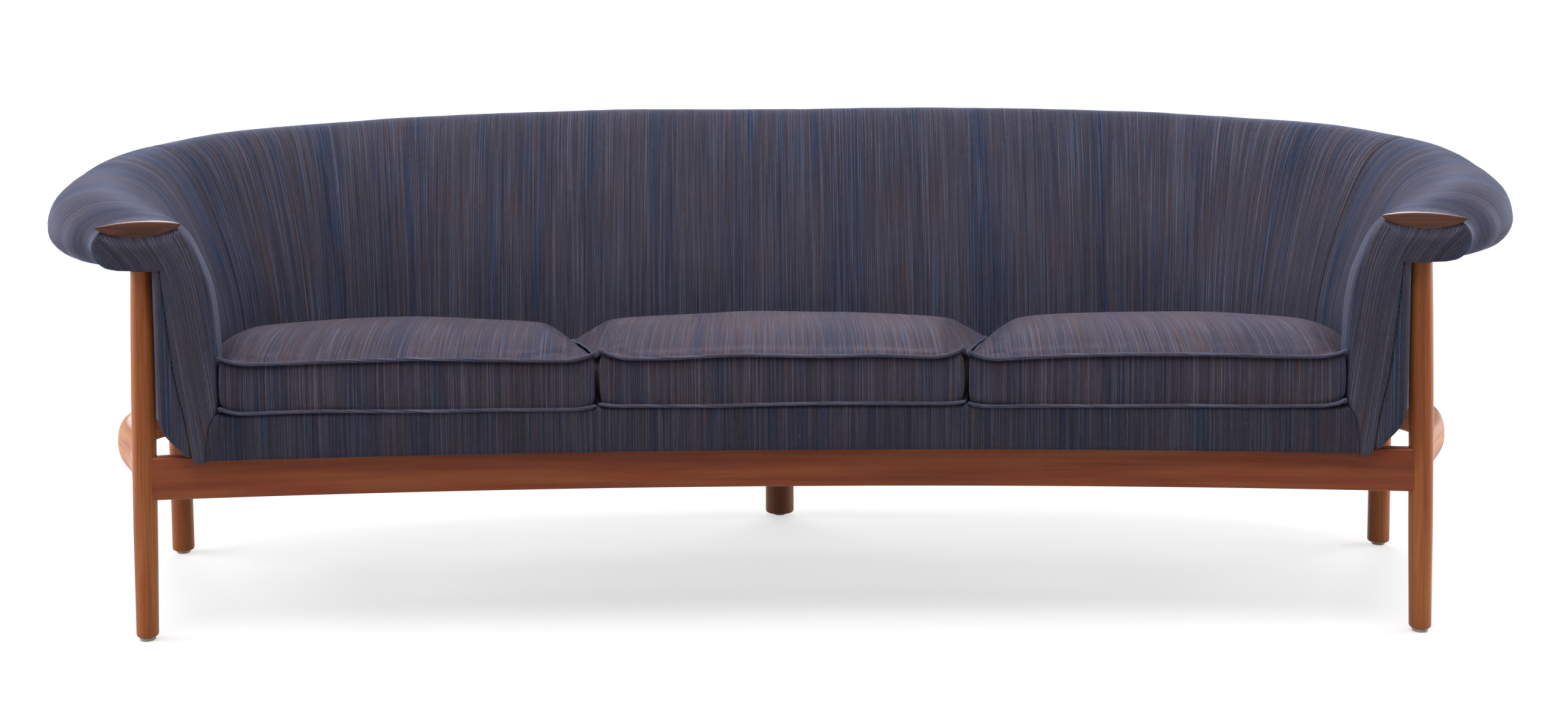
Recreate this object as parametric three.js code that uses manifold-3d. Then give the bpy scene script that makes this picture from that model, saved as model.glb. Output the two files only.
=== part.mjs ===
import * as THREE from "three";
import { mergeVertices } from "three/addons/utils/BufferGeometryUtils.js";
import Module from "manifold-3d";

// A crescent-shaped three-seat sofa: an upholstered wrap-around shell on an exposed teak frame.
// Millimetres. X runs to the right, Y to the back and Z up. Pieces are drawn with the front legs' axes
// on Y = 0, and the finished group is moved so that its origin lies under the middle of the whole sofa.

const wasm = await Module();
wasm.setup();

// Clearances
const touch = 0.3; // between pieces that bear on each other
const cushionGap = 1.5; // between neighbouring cushions
const wallGap = 3; // between a cushion and the shell
const cutOverrun = 20; // how far a cutting tool runs past what it cuts
const weld = 0.001; // points nearer than this are one point

// Legs and glides
const frontLegHalf = 983; // half the spread of the front legs at the floor
const frontLegSplay = 8; // how much nearer the middle they stand under the arms
const frontLegRadius = 18; // at its thickest, round the rails
const frontLegRadiusTop = 15.2;
const frontLegRadiusLow = 16.6;
const frontLegSwell = 350; // height above which the front legs start to taper
const frontLegSwellLow = 200; // and below which they taper towards the floor
const legFootRound = 4;
const taperShare = 0.35; // share of the taper reached halfway up it
const rearLegOut = 122; // how far outside the front legs the rear legs stand
const rearLegY = 530;
const rearLegRadius = 19.5;
const centreLegIn = 34.5; // from the ring's centre line in to the middle leg's axis
const centreLegRadius = 28;
const glideRadius = 12;
const glideThick = 5;
const armTenonRadius = 10;
const armTenonLength = 34;

// Rails
const railBottom = 219.5;
const railTop = 286.5;
const railThick = 26;
const railEase = 4; // rounding of the rails' long edges
const railBow = 70; // how far the front rail's middle lies behind its ends
const ringThick = 28;
const ringSwell = 161; // how far outside the front legs the ring's centre line runs at its widest
const ringWideY = 400;
const ringStartOut = 4; // how far outside the front leg's axis the ring's centre line starts
const ringBackY = 832.5; // the ring's centre line in the middle of the back
const ringJoint = 75; // from a rear leg's axis on to the joint behind it
const ringCentreHalf = 260; // half the length of the middle piece of the ring
const rearLegSide = -10; // degrees by which the ring lies behind the rear leg's own side
const ringHousing = 8; // how deep the rear legs are let into the ring
const jointGap = 0.4; // glue line between two lengths of the ring
const bearerWidth = 50;
const bearerThick = 40;
const bearerSpread = 430; // from the middle bearer to each outer one
const tenonDepth = 12;
const tenonShoulder = 8;
const dowelRadius = 6;
const dowelDepth = 14; // how far a dowel goes into a leg
const dowelLength = 46;
const dowelStagger = 14; // how far the two dowels of a leg lie above and below the rail's middle
const boltRadius = 4;
const boltHeadRadius = 8;
const boltHeadThick = 4;
const boltDepth = 16;
const boltSink = 6; // how deep a bolt's head is sunk
const boltDrop = 17; // how far the bolts lie below the rail's middle

// Shell: the inner seat line in plan, at the foot of the padding
const shellLegGap = 8; // from the front leg to the shell's outer side
const shellFrontY = 0; // where the arms' end faces stand at the seat line
const seatSwell = 92.2; // how far the seat line swells out beyond the arms' front ends
const seatBackY = 612; // the seat line in the middle of the back
const armTurn = 9; // degrees by which the arms' end faces turn towards the middle
const turnShare = 0.16; // share of the half path over which the sections swing square to it
const bendShare = 0.48; // share of the half path in which the stations lie closer together
const seamShare = 0.3; // share of the half path at the seam between arm and back, inside and out
const farEndShare = 2; // share of the path at the other arm's end, as it is 1 in the middle of the back
const shellFloor = 288.3; // underside of the shell's wooden base
const lip = 6.5; // how far the apron and facings hang in front of the rail's top edge
const baseTop = 330;
const deckTop = 352;

// Shell: sizes of its section at six places, from the arm's front to the middle of the back
const stationShares = [0, 0.045, 0.2, 0.36, 0.65, 1];
const crestHeights = [648, 655, 704, 775, 807, 810]; // top of the rim
const crestReaches = [110, 126, 182, 203, 212, 214]; // from the seat line out to the crest
const rimReaches = [178, 196, 256, 272, 266, 262]; // from the seat line out to the rim's edge
const rimThicks = [75, 82, 112, 118, 112, 108]; // from the crest down to the rim's root
const crestDrops = [36, 43, 66, 58, 46, 40]; // from the crest down to the rim's edge
const rootReaches = [91, 91, 146, 172, 208, 216]; // from the seat line out to the rim's root
const wallFeet = [89, 89, 108, 126, 140, 142]; // from the seat line out to the foot of the outer wall
const wallBulges = [1, 1, 4, 6, 6, 6]; // how far the outer wall bulges halfway up
const leanShares = [0, 0.05, 0.45, 0.8, 1, 1]; // how far the inner wall has turned into the back's
const bilgeHeight = 41; // height of the sloped lower edge of the shell
const bilgeWidth = 38;

// Inner wall, as shares of the crest's reach and of its height above the base, in an arm and in the back
const armWallShares = [
  [0, 0],
  [0, 0.2],
  [0.01, 0.43],
  [0.035, 0.573],
  [0.09, 0.696],
  [0.2, 0.811],
  [0.35, 0.92],
  [0.52, 0.975],
  [0.76, 0.996],
  [1, 1],
];
const backWallShares = [
  [0, 0],
  [0.025, 0.12],
  [0.075, 0.24],
  [0.17, 0.39],
  [0.3, 0.547],
  [0.45, 0.703],
  [0.61, 0.84],
  [0.73, 0.918],
  [0.86, 0.975],
  [1, 1],
];
// The seat line, as shares of its greatest half width and of its depth
const seatLineShares = [
  [0.915, 0.1],
  [0.955, 0.23],
  [0.988, 0.37],
  [1, 0.52],
  [0.978, 0.68],
  [0.885, 0.83],
  [0.72, 0.925],
  [0.5, 0.968],
  [0.25, 0.993],
];
// The ring's centre line before its widest place, as shares of the way out and back from the front leg
const ringStartShares = [
  [0.34, 0.34],
  [0.8, 0.71],
];
// The ring's centre line behind its widest place, as shares of its half width and of the depth from there
const ringLineShares = [
  [0.83, 0.671],
  [0.69, 0.785],
  [0.46, 0.905],
  [0.23, 0.975],
];

// Padding and covers
const wallPad = 34;
const rimPad = 18;
const padTaperShares = [1, 1, 1, 1, 0.95, 0.6, 0.25]; // padding from the wall's to the rim's, point by point
const rimUnderShare = 0.95; // share of the way from the rim's edge to its root at which its underside lies
const rimAngles = [60, 30, 0, -30, -60, -90]; // degrees round the rim
const coverThick = 6;
const facingThick = 12;
const facingRound = 4;
const facingSeamReaches = [79, 62, 50, 30]; // from the seat line out to its outer seam, from the top down
const facingSeamHeightShares = [1, 0.45, 0.2, 0]; // heights of the seam's points, up to the rim
const apronThick = 30;
const apronProud = 15; // how far the apron stands in front of the rail
const apronRound = 5;
const frontBarDepth = 45;

// Woodwork inside the shell
const baseBarIn = 34; // how far the base bars reach inside the seat line
const postLength = 46;
const postRoom = 3; // between a post and the covers beside it
const railRoom = 1.2; // between a top rail and the padding round it
const railFirst = 7; // first and last point of the rim's outline that a top rail follows
const railLast = 14;
const railStart = 3; // from the arm's end face to its top rail
const sideBarStart = 21; // from the arm's end face to its base bar, along the seat line
const armPostShare = 0.1;
const backPostShare = 0.6;
const strapWidth = 60;
const strapThick = 3;
const strapCount = 5;
const strapPitch = 300;
const strapLanding = 12; // from the edge of a base bar's room to a strap's end
const deckInset = 6; // from the deck's edge to the shell
const deckStart = 26; // from the arm's end face to the deck's corner, along the seat line

// Cushions
const cushionSeamFront = 285; // half the width of the middle cushion at the front
const cushionSeamBack = 392; // and at the back
const cushionProud = 1; // how far the cushions stand in front of the apron
const boxingHeight = 79;
const cushionCrown = 27;
const cushionUnderCrown = 1.6; // rise of the underside's edge, which the crown presses off the deck
const cornerRound = 26;
const boxingDraw = 3; // how far the boxing's middle draws in
const cornerRise = 15; // how far the top corners stand above the middles of the sides
const underFlatShare = 0.8; // share of the underside that lies flat
const crownShares = [0.93, 0.82, 0.66, 0.46, 0.24];
const crownPower = 2.6;

// Arm caps
const capLength = 126;
const capDepth = 44;
const capThick = 23;
const capProud = 2.5; // how far a cap's top stands above the arm's crest
const capTipDrop = 6; // how far its tips lie below its middle
const capFrontBow = 5;
const capFrontProud = 2; // how far its middle stands in front of the facing
const capOut = 101; // from the seat line out to the cap's middle
// The hull, as shares of its depth from the front edge and of its thickness from the top
const capHullShares = [
  [0.76, 0.5],
  [0.35, 1],
  [0.12, 0.94],
];
const capLensPower = 0.7;
const capKeelPower = 0.8;

// Smoothness
const legSides = 20;
const pinSides = 12;
const ringSteps = 8;
const railSteps = 16;
const armSteps = 7;
const bendSteps = 4;
const backSteps = 6;
const sideSamples = 8;
const cornerSamples = 3;
const capSteps = 10;
const searchSteps = 600;
const stationRoom = 8; // least distance between two stations

const teak = { color: 0x9a5a38, roughness: 0.45, metalness: 0 };
const darkTeak = { color: 0x7a4128, roughness: 0.4, metalness: 0 };
const beech = { color: 0xc9a074, roughness: 0.6, metalness: 0 };
const twill = { color: 0x3a4360, roughness: 0.95, metalness: 0 };
const cotton = { color: 0x2b2b30, roughness: 1, metalness: 0 };
const webbing = { color: 0x8a7a5c, roughness: 1, metalness: 0 };
const nylon = { color: 0xd8d2c4, roughness: 0.5, metalness: 0 };
const steel = { color: 0x9a9a9a, roughness: 0.35, metalness: 1 };

const sofa = new THREE.Group();
const up = new THREE.Vector3(0, 0, 1);

// Geometry helpers

function volumeOf(geometry) {
  const p = geometry.getAttribute("position");
  const index = geometry.getIndex();
  const a = new THREE.Vector3();
  const b = new THREE.Vector3();
  const c = new THREE.Vector3();
  let sum = 0;
  for (let i = 0; i < index.count; i += 3) {
    a.fromBufferAttribute(p, index.getX(i));
    b.fromBufferAttribute(p, index.getX(i + 1));
    c.fromBufferAttribute(p, index.getX(i + 2));
    sum += a.dot(b.cross(c));
  }
  return sum;
}

function flipped(geometry) {
  const index = geometry.getIndex();
  for (let i = 0; i < index.count; i += 3) {
    const first = index.getX(i);
    index.setX(i, index.getX(i + 2));
    index.setX(i + 2, first);
  }
  return geometry;
}

// A closed body from points and triangles, with its faces turned outwards.
function closedBody(points, triangles) {
  const geometry = new THREE.BufferGeometry().setFromPoints(points);
  geometry.setIndex(triangles);
  return volumeOf(geometry) < 0 ? flipped(geometry) : geometry;
}

function plain(geometry) {
  const bare = new THREE.BufferGeometry();
  bare.setAttribute("position", geometry.getAttribute("position"));
  if (geometry.getIndex()) bare.setIndex(geometry.getIndex());
  return mergeVertices(bare, weld);
}

function toSolid(geometry) {
  const merged = plain(geometry);
  const mesh = new wasm.Mesh({
    numProp: 3,
    vertProperties: new Float32Array(merged.getAttribute("position").array),
    triVerts: new Uint32Array(merged.getIndex().array),
  });
  return new wasm.Manifold(mesh);
}

function toGeometry(solid) {
  const mesh = solid.getMesh();
  const geometry = new THREE.BufferGeometry();
  geometry.setAttribute("position", new THREE.BufferAttribute(new Float32Array(mesh.vertProperties), 3));
  geometry.setIndex(new THREE.BufferAttribute(new Uint32Array(mesh.triVerts), 1));
  return geometry;
}

function cut(geometry, ...tools) {
  let solid = toSolid(geometry);
  for (const tool of tools) solid = solid.subtract(toSolid(tool));
  return toGeometry(solid);
}

function joined(geometry, ...others) {
  let solid = toSolid(geometry);
  for (const other of others) solid = solid.add(toSolid(other));
  return toGeometry(solid);
}

function mirrored(geometry) {
  return flipped(plain(geometry).applyMatrix4(new THREE.Matrix4().makeScale(-1, 1, 1)));
}

function addPiece(name, geometry, finish) {
  const mesh = new THREE.Mesh(geometry, new THREE.MeshStandardMaterial(finish));
  mesh.name = name;
  sofa.add(mesh);
}

// A piece drawn on the right, and its mirror image on the left.
function addPair(name, geometry, finish) {
  addPiece(name + "_right", geometry, finish);
  addPiece(name + "_left", mirrored(geometry), finish);
}

// Triangles that fill an outline, wound with its points or against them.
function filled(outline, offset, withOutline) {
  const turn = Math.sign(THREE.ShapeUtils.area(outline));
  return THREE.ShapeUtils.triangulateShape(outline, []).flatMap(([a, b, c]) => {
    const same = Math.sign(THREE.ShapeUtils.area([outline[a], outline[b], outline[c]])) === turn;
    return same === withOutline ? [offset + a, offset + b, offset + c] : [offset + a, offset + c, offset + b];
  });
}

// A loft through rings of points, its ends filled from the first and last outlines.
function loft(rings, firstOutline, lastOutline) {
  const count = rings[0].length;
  const triangles = [];
  for (let k = 0; k + 1 < rings.length; k++) {
    for (let i = 0; i < count; i++) {
      const a = k * count + i;
      const b = k * count + ((i + 1) % count);
      triangles.push(a, b, b + count, a, b + count, a + count);
    }
  }
  const last = (rings.length - 1) * count;
  triangles.push(...filled(firstOutline, 0, false), ...filled(lastOutline, last, true));
  return closedBody(rings.flat(), triangles);
}

function cylinder(radius, length, sides, centre, direction) {
  const geometry = new THREE.CylinderGeometry(radius, radius, length, sides);
  const axis = direction.clone().normalize();
  const turn = new THREE.Quaternion().setFromUnitVectors(new THREE.Vector3(0, 1, 0), axis);
  return plain(geometry.applyQuaternion(turn).translate(centre.x, centre.y, centre.z));
}

// A box between two corners.
function block(low, high) {
  const size = high.clone().sub(low);
  const middle = low.clone().add(high).multiplyScalar(0.5);
  return plain(new THREE.BoxGeometry(size.x, size.y, size.z).translate(middle.x, middle.y, middle.z));
}

// The outline of a bar with eased edges, thick across and from bottom to top.
function barOutline(thick, bottom, top, ease) {
  const half = thick / 2;
  const outline = new THREE.Path();
  outline.moveTo(-half + ease, bottom);
  outline.absarc(half - ease, bottom + ease, ease, -Math.PI / 2, 0, false);
  outline.absarc(half - ease, top - ease, ease, 0, Math.PI / 2, false);
  outline.absarc(-half + ease, top - ease, ease, Math.PI / 2, Math.PI, false);
  outline.absarc(-half + ease, bottom + ease, ease, Math.PI, 1.5 * Math.PI, false);
  const points = outline.getPoints(2);
  return points.filter((p, i) => i === 0 || p.distanceTo(points[i - 1]) > touch / 2).slice(0, -1);
}

// Places outline points (across, height) on the vertical plane through a spot in plan.
function placed(outline, spot, outward) {
  return outline.map((p) => new THREE.Vector3(spot.x + outward.x * p.x, spot.y + outward.y * p.x, p.y));
}

function smoothStep(share) {
  const t = THREE.MathUtils.clamp(share, 0, 1);
  return t * t * (3 - 2 * t);
}

// Plan curves

function legXAt(height) {
  return THREE.MathUtils.mapLinear(height, 0, armUnderside, frontLegHalf, frontLegHalfTop);
}

const frontLegHalfTop = frontLegHalf - frontLegSplay;
const rearLegHalf = frontLegHalf + rearLegOut;
const ringHalfWide = frontLegHalf + ringSwell;
const centreLegY = ringBackY - centreLegIn;
const armUnderside = crestHeights[0] - rimThicks[0];
const cushionBottom = deckTop + touch;
const railMiddle = (railBottom + railTop) / 2;
const railLegX = legXAt(railMiddle);
const shellSideX = frontLegHalfTop - frontLegRadiusTop - shellLegGap;
const seatHalfFront = shellSideX - wallFeet[0];
const seatHalfWide = seatHalfFront + seatSwell;
const seatDepth = seatBackY - shellFrontY;

const seatLinePoints = [
  new THREE.Vector2(seatHalfFront, shellFrontY),
  ...seatLineShares.map(([x, y]) => new THREE.Vector2(x * seatHalfWide, shellFrontY + y * seatDepth)),
];
const seatLine = symmetricCurve(seatLinePoints, seatBackY);

// A smooth curve in plan through points on the right, one on the middle line, and their mirror images.
function symmetricCurve(points, middleY) {
  const right = points.map((p) => new THREE.Vector3(p.x, p.y, 0));
  const left = [...right].reverse().map((p) => new THREE.Vector3(-p.x, p.y, 0));
  const line = [...right, new THREE.Vector3(0, middleY, 0), ...left];
  return new THREE.CatmullRomCurve3(line, false, "centripetal");
}

function tangentAt(curve, share) {
  return curve.getTangentAt(share / farEndShare);
}

function placeAt(curve, share) {
  return curve.getPointAt(share / farEndShare);
}

// The direction out of the seat in plan, square to the seat line except near the arms' ends.
function outwardAt(share) {
  const along = tangentAt(seatLine, share);
  const square = new THREE.Vector2(along.y, -along.x);
  const turn = THREE.MathUtils.degToRad(armTurn);
  const end = new THREE.Vector2(Math.cos(turn), -Math.sin(turn));
  return end.lerp(square, smoothStep(share / turnShare)).normalize();
}

// A size that changes along the half path, smooth through its values and level at the middle of the back.
function sizeAlong(values, share) {
  const n = stationShares.length;
  let k = 0;
  while (k < n - 2 && share > stationShares[k + 1]) k++;
  const slopeAt = (i) => {
    if (i === 0) return (values[1] - values[0]) / (stationShares[1] - stationShares[0]);
    if (i === n - 1) return 0;
    return (values[i + 1] - values[i - 1]) / (stationShares[i + 1] - stationShares[i - 1]);
  };
  const width = stationShares[k + 1] - stationShares[k];
  const t = (share - stationShares[k]) / width;
  const t2 = t * t;
  const t3 = t2 * t;
  const start = (2 * t3 - 3 * t2 + 1) * values[k] + (t3 - 2 * t2 + t) * width * slopeAt(k);
  return start + (3 * t2 - 2 * t3) * values[k + 1] + (t3 - t2) * width * slopeAt(k + 1);
}

// The shell's section

// Points of the inner cover's outer face, from the foot of the inner wall over the rim to its root.
function coverOutline(share) {
  const crest = sizeAlong(crestHeights, share);
  const crestReach = sizeAlong(crestReaches, share);
  const rimReach = sizeAlong(rimReaches, share);
  const edgeHeight = crest - sizeAlong(crestDrops, share);
  const rootHeight = crest - sizeAlong(rimThicks, share);
  const rootReach = sizeAlong(rootReaches, share);
  const lean = THREE.MathUtils.clamp(sizeAlong(leanShares, share), 0, 1);
  const foot = baseTop + touch;
  const outline = armWallShares.map(([out, rise], i) => {
    const [backOut, backRise] = backWallShares[i];
    const reach = THREE.MathUtils.lerp(out, backOut, lean) * crestReach;
    return new THREE.Vector2(reach, foot + THREE.MathUtils.lerp(rise, backRise, lean) * (crest - foot));
  });
  const under = (edgeHeight - rootHeight) * rimUnderShare;
  for (const angle of rimAngles) {
    const a = THREE.MathUtils.degToRad(angle);
    const upper = angle >= 0;
    const reach = upper ? rimReach - crestReach : Math.min(under, rimReach - rootReach);
    const drop = upper ? crest - edgeHeight : under;
    outline.push(new THREE.Vector2(rimReach - reach + reach * Math.cos(a), edgeHeight + drop * Math.sin(a)));
  }
  outline.push(new THREE.Vector2(rootReach, rootHeight));
  return outline;
}

// The line inside a run of outline points, a given depth behind each.
function insetLine(outline, depths) {
  return outline.map((p, i) => {
    const before = outline[Math.max(i - 1, 0)];
    const after = outline[Math.min(i + 1, outline.length - 1)];
    const along = after.clone().sub(before).normalize();
    return new THREE.Vector2(p.x + along.y * depths[i], p.y - along.x * depths[i]);
  });
}

function padDepths(outline, extra) {
  return outline.map((p, i) => {
    const share = i < padTaperShares.length ? padTaperShares[i] : 0;
    return THREE.MathUtils.lerp(rimPad, wallPad, share) + extra;
  });
}

function padOutline(share) {
  const face = coverOutline(share);
  const back = insetLine(face, padDepths(face, 0));
  back[0].y = face[0].y;
  back[back.length - 1].x = face[face.length - 1].x;
  back[back.length - 1].y = face[face.length - 1].y + rimPad;
  return [...face, ...back.reverse()];
}

function outerWall(share) {
  const crest = sizeAlong(crestHeights, share);
  const root = new THREE.Vector2(sizeAlong(rootReaches, share), crest - sizeAlong(rimThicks, share) - touch);
  const foot = new THREE.Vector2(sizeAlong(wallFeet, share), shellFloor + bilgeHeight);
  return { root, foot, heel: new THREE.Vector2(foot.x - bilgeWidth, shellFloor) };
}

function outerOutline(share) {
  const { root, foot, heel } = outerWall(share);
  const middle = root.clone().add(foot).multiplyScalar(0.5);
  middle.x += sizeAlong(wallBulges, share);
  return [
    root,
    middle,
    foot,
    heel,
    new THREE.Vector2(heel.x, heel.y + coverThick),
    new THREE.Vector2(foot.x - coverThick, foot.y + coverThick / 4),
    new THREE.Vector2(middle.x - coverThick, middle.y),
    new THREE.Vector2(root.x - coverThick, root.y),
  ];
}

// Sections of one kind set along the seat line between two shares of the full path.
function alongShell(outlineAt, shares) {
  const rings = [];
  const outlines = [];
  for (const share of shares) {
    const half = share <= 1 ? share : farEndShare - share;
    const outline = outlineAt(half);
    const spot = seatLine.getPointAt(share / farEndShare);
    const outward = outwardAt(half);
    if (share > 1) outward.x = -outward.x;
    outlines.push(outline);
    rings.push(placed(outline, spot, outward));
  }
  return loft(rings, outlines[0], outlines[outlines.length - 1]);
}

function sharesBetween(from, to, steps) {
  return Array.from({ length: steps + 1 }, (v, i) => THREE.MathUtils.lerp(from, to, i / steps));
}

const halfPath = seatLine.getLength() / 2;
const gapShare = touch / halfPath / 2;
const seamLow = seamShare - gapShare;
const seamHigh = seamShare + gapShare;
const halfStations = [
  ...sharesBetween(0, seamShare, armSteps),
  ...sharesBetween(seamShare, bendShare, bendSteps).slice(1),
  ...sharesBetween(bendShare, 1, backSteps).slice(1),
];
const farStations = halfStations.slice(0, -1).map((share) => farEndShare - share);
const allStations = [...halfStations, ...farStations.reverse()];

// The shell's common stations between two shares of the full path, and both ends.
function runShares(from, to) {
  const room = stationRoom / halfPath;
  return [from, ...allStations.filter((share) => share > from + room && share < to - room), to];
}

// Arm caps

// A loft through sections across an arm's end, each with points back from the facing and up from the crest.
// A section is drawn from how full the lens is there, its front and its depth.
function acrossArm(grow, sectionAt) {
  const half = capLength / 2 + grow;
  const sections = sharesBetween(-1, 1, capSteps).map((along) => {
    const lens = 1 - along * along;
    const depth = capDepth * Math.pow(lens, capLensPower) + 2 * grow + touch;
    const section = sectionAt(lens, -capFrontBow * lens - grow, depth);
    return section.map((p) => new THREE.Vector3(along * half, p.x, p.y));
  });
  const outlineOf = (ring) => ring.map((p) => new THREE.Vector2(p.y, p.z));
  const body = loft(sections, outlineOf(sections[0]), outlineOf(sections[capSteps]));
  const spot = placeAt(seatLine, 0);
  const outward = outwardAt(0);
  const offset = facingThick + capFrontProud - capFrontBow;
  const x = spot.x + outward.x * capOut + outward.y * offset;
  const y = spot.y + outward.y * capOut - outward.x * offset;
  return body.rotateZ(Math.atan2(outward.y, outward.x)).translate(x, y, crestHeights[0]);
}

// A boat-shaped cap: a lens on top, and a hull that rises to both tips and to the back edge.
function armCap(grow) {
  return acrossArm(grow, (lens, front, depth) => {
    const deck = capProud - capTipDrop * (1 - lens) + grow;
    const thick = capThick * Math.pow(lens, capKeelPower) + 2 * grow + touch;
    return [
      new THREE.Vector2(front, deck),
      new THREE.Vector2(front + depth, deck),
      ...capHullShares.map(([back, down]) => new THREE.Vector2(front + back * depth, deck - down * thick)),
    ];
  });
}

// The room above a cap, cut out of whatever rises round it.
function capRoom() {
  return acrossArm(touch, (lens, front, depth) => {
    const deck = capProud - capTipDrop * (1 - lens);
    return [
      new THREE.Vector2(front, deck),
      new THREE.Vector2(front + depth, deck),
      new THREE.Vector2(front + depth, deck + cutOverrun),
      new THREE.Vector2(front, deck + cutOverrun),
    ];
  });
}

// Legs, turned on their axes

const frontLegAxis = new THREE.Vector3(frontLegHalfTop - frontLegHalf, 0, armUnderside).normalize();

function turned(outline) {
  const leg = plain(new THREE.LatheGeometry(outline, legSides)).rotateX(Math.PI / 2);
  return volumeOf(leg) < 0 ? flipped(leg) : leg;
}

function frontLeg() {
  const length = armUnderside - 2 * touch - glideThick;
  const taperMiddle = (frontLegSwell + length) / 2;
  const leg = turned([
    new THREE.Vector2(0, 0),
    new THREE.Vector2(frontLegRadiusLow - legFootRound, 0),
    new THREE.Vector2(frontLegRadiusLow - legFootRound / 4, legFootRound / 4),
    new THREE.Vector2(frontLegRadiusLow, legFootRound),
    new THREE.Vector2(frontLegRadius, frontLegSwellLow),
    new THREE.Vector2(frontLegRadius, frontLegSwell),
    new THREE.Vector2(frontLegRadius - (frontLegRadius - frontLegRadiusTop) * taperShare, taperMiddle),
    new THREE.Vector2(frontLegRadiusTop, length),
    new THREE.Vector2(armTenonRadius, length),
    new THREE.Vector2(armTenonRadius, length + armTenonLength),
    new THREE.Vector2(0, length + armTenonLength),
  ]);
  const lean = Math.atan2(frontLegAxis.x, frontLegAxis.z);
  leg.rotateY(lean).translate(legXAt(glideThick), 0, glideThick);
  return cut(leg, railDowel(touch), ringDowel(touch));
}

// A cylinder round the front leg's axis, for whatever is scribed or bored to it.
function frontLegTool(radius, low, high) {
  const middle = (low + high) / 2;
  const centre = new THREE.Vector3(legXAt(middle), 0, middle);
  return cylinder(radius, high - low, legSides, centre, frontLegAxis);
}

function rearLeg(radius, x, y) {
  const length = railTop - glideThick;
  const leg = turned([
    new THREE.Vector2(0, 0),
    new THREE.Vector2(radius - legFootRound, 0),
    new THREE.Vector2(radius, legFootRound),
    new THREE.Vector2(radius, length - legFootRound / 2),
    new THREE.Vector2(radius - legFootRound / 2, length),
    new THREE.Vector2(0, length),
  ]);
  return leg.translate(x, y, glideThick);
}

function rearLegTool(radius, x, y) {
  return cylinder(radius + touch, 2 * railTop, legSides, new THREE.Vector3(x, y, railTop), up);
}

function glide(x, y) {
  const thick = glideThick - touch;
  return cylinder(glideRadius, thick, legSides, new THREE.Vector3(x, y, thick / 2), up);
}

// Rails

// A bar swept round a plan curve between two shares of its full length.
function swept(curve, outline, from, to, steps) {
  const rings = sharesBetween(from, to, steps).map((share) => {
    const spot = curve.getPointAt(share);
    const along = curve.getTangentAt(share);
    return placed(outline, spot, new THREE.Vector2(along.y, -along.x));
  });
  return loft(rings, outline, outline);
}

function frontRailCurve() {
  const points = sharesBetween(-1, 1, railSteps).map((x) => {
    return new THREE.Vector3(-x * railLegX, railBow * (1 - x * x), 0);
  });
  return new THREE.CatmullRomCurve3(points, false, "centripetal");
}

function ringCurve() {
  const start = new THREE.Vector2(railLegX + ringStartOut, 0);
  const sideAngle = THREE.MathUtils.degToRad(rearLegSide);
  const off = rearLegRadius - ringHousing + ringThick / 2;
  const depth = ringBackY - ringWideY;
  return symmetricCurve(
    [
      start,
      ...ringStartShares.map(([x, y]) => {
        return new THREE.Vector2(THREE.MathUtils.lerp(start.x, ringHalfWide, x), y * ringWideY);
      }),
      new THREE.Vector2(ringHalfWide, ringWideY),
      new THREE.Vector2(rearLegHalf + off * Math.cos(sideAngle), rearLegY + off * Math.sin(sideAngle)),
      ...ringLineShares.map(([x, y]) => new THREE.Vector2(x * ringHalfWide, ringWideY + y * depth)),
    ],
    ringBackY,
  );
}

const frontLine = frontRailCurve();
const ringLine = ringCurve();

// The share of a curve's full length at the place nearest to a point in plan.
function shareNear(curve, x, y) {
  const shares = sharesBetween(0, 0.5, searchSteps);
  const far = shares.map((share) => curve.getPointAt(share).distanceTo(new THREE.Vector3(x, y, 0)));
  return shares[far.indexOf(Math.min(...far))];
}

const rearLegShare = shareNear(ringLine, rearLegHalf, rearLegY);
const ringJointHalf = jointGap / 2 / ringLine.getLength();
const ringJointShare = rearLegShare + ringJoint / ringLine.getLength();
const ringCentreShare = 0.5 - ringCentreHalf / ringLine.getLength();
const ringBackStart = ringJointShare + ringJointHalf;
const ringBackEnd = ringCentreShare - ringJointHalf;
const bearerXs = [-bearerSpread, 0, bearerSpread];
const railOutline = barOutline(railThick, railBottom, railTop, railEase);
const ringOutline = barOutline(ringThick, railBottom, railTop, railEase);

function ringLength(from, to, steps) {
  const bar = swept(ringLine, ringOutline, from, to, steps);
  return cut(
    bar,
    frontLegTool(frontLegRadius + touch, railBottom - cutOverrun, railTop + cutOverrun),
    rearLegTool(rearLegRadius, rearLegHalf, rearLegY),
    rearLegTool(centreLegRadius, 0, centreLegY),
    ringDowel(touch),
    legBolt(rearLegRadius, rearLegHalf, rearLegY, rearLegShare, touch),
    legBolt(centreLegRadius, 0, centreLegY, 0.5, touch),
    ...bearerXs.map((x) => bearerTenon(x, touch)),
  );
}

// A dowel that starts inside the front leg and runs out along a bar's curve.
function dowel(curve, height, clearance) {
  const leg = legXAt(height);
  const from = curve.getPointAt(0);
  const along = curve.getTangentAt(0);
  const middle = frontLegRadius - dowelDepth + dowelLength / 2;
  const centre = new THREE.Vector3(leg + along.x * middle, from.y + along.y * middle, height);
  return cylinder(dowelRadius + clearance, dowelLength + 2 * clearance, pinSides, centre, along);
}

// The two dowels of one leg are staggered in height, so that they pass each other.
function railDowel(clearance) {
  return dowel(frontLine, railMiddle - dowelStagger, clearance);
}

function ringDowel(clearance) {
  return dowel(ringLine, railMiddle + dowelStagger, clearance);
}

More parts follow.
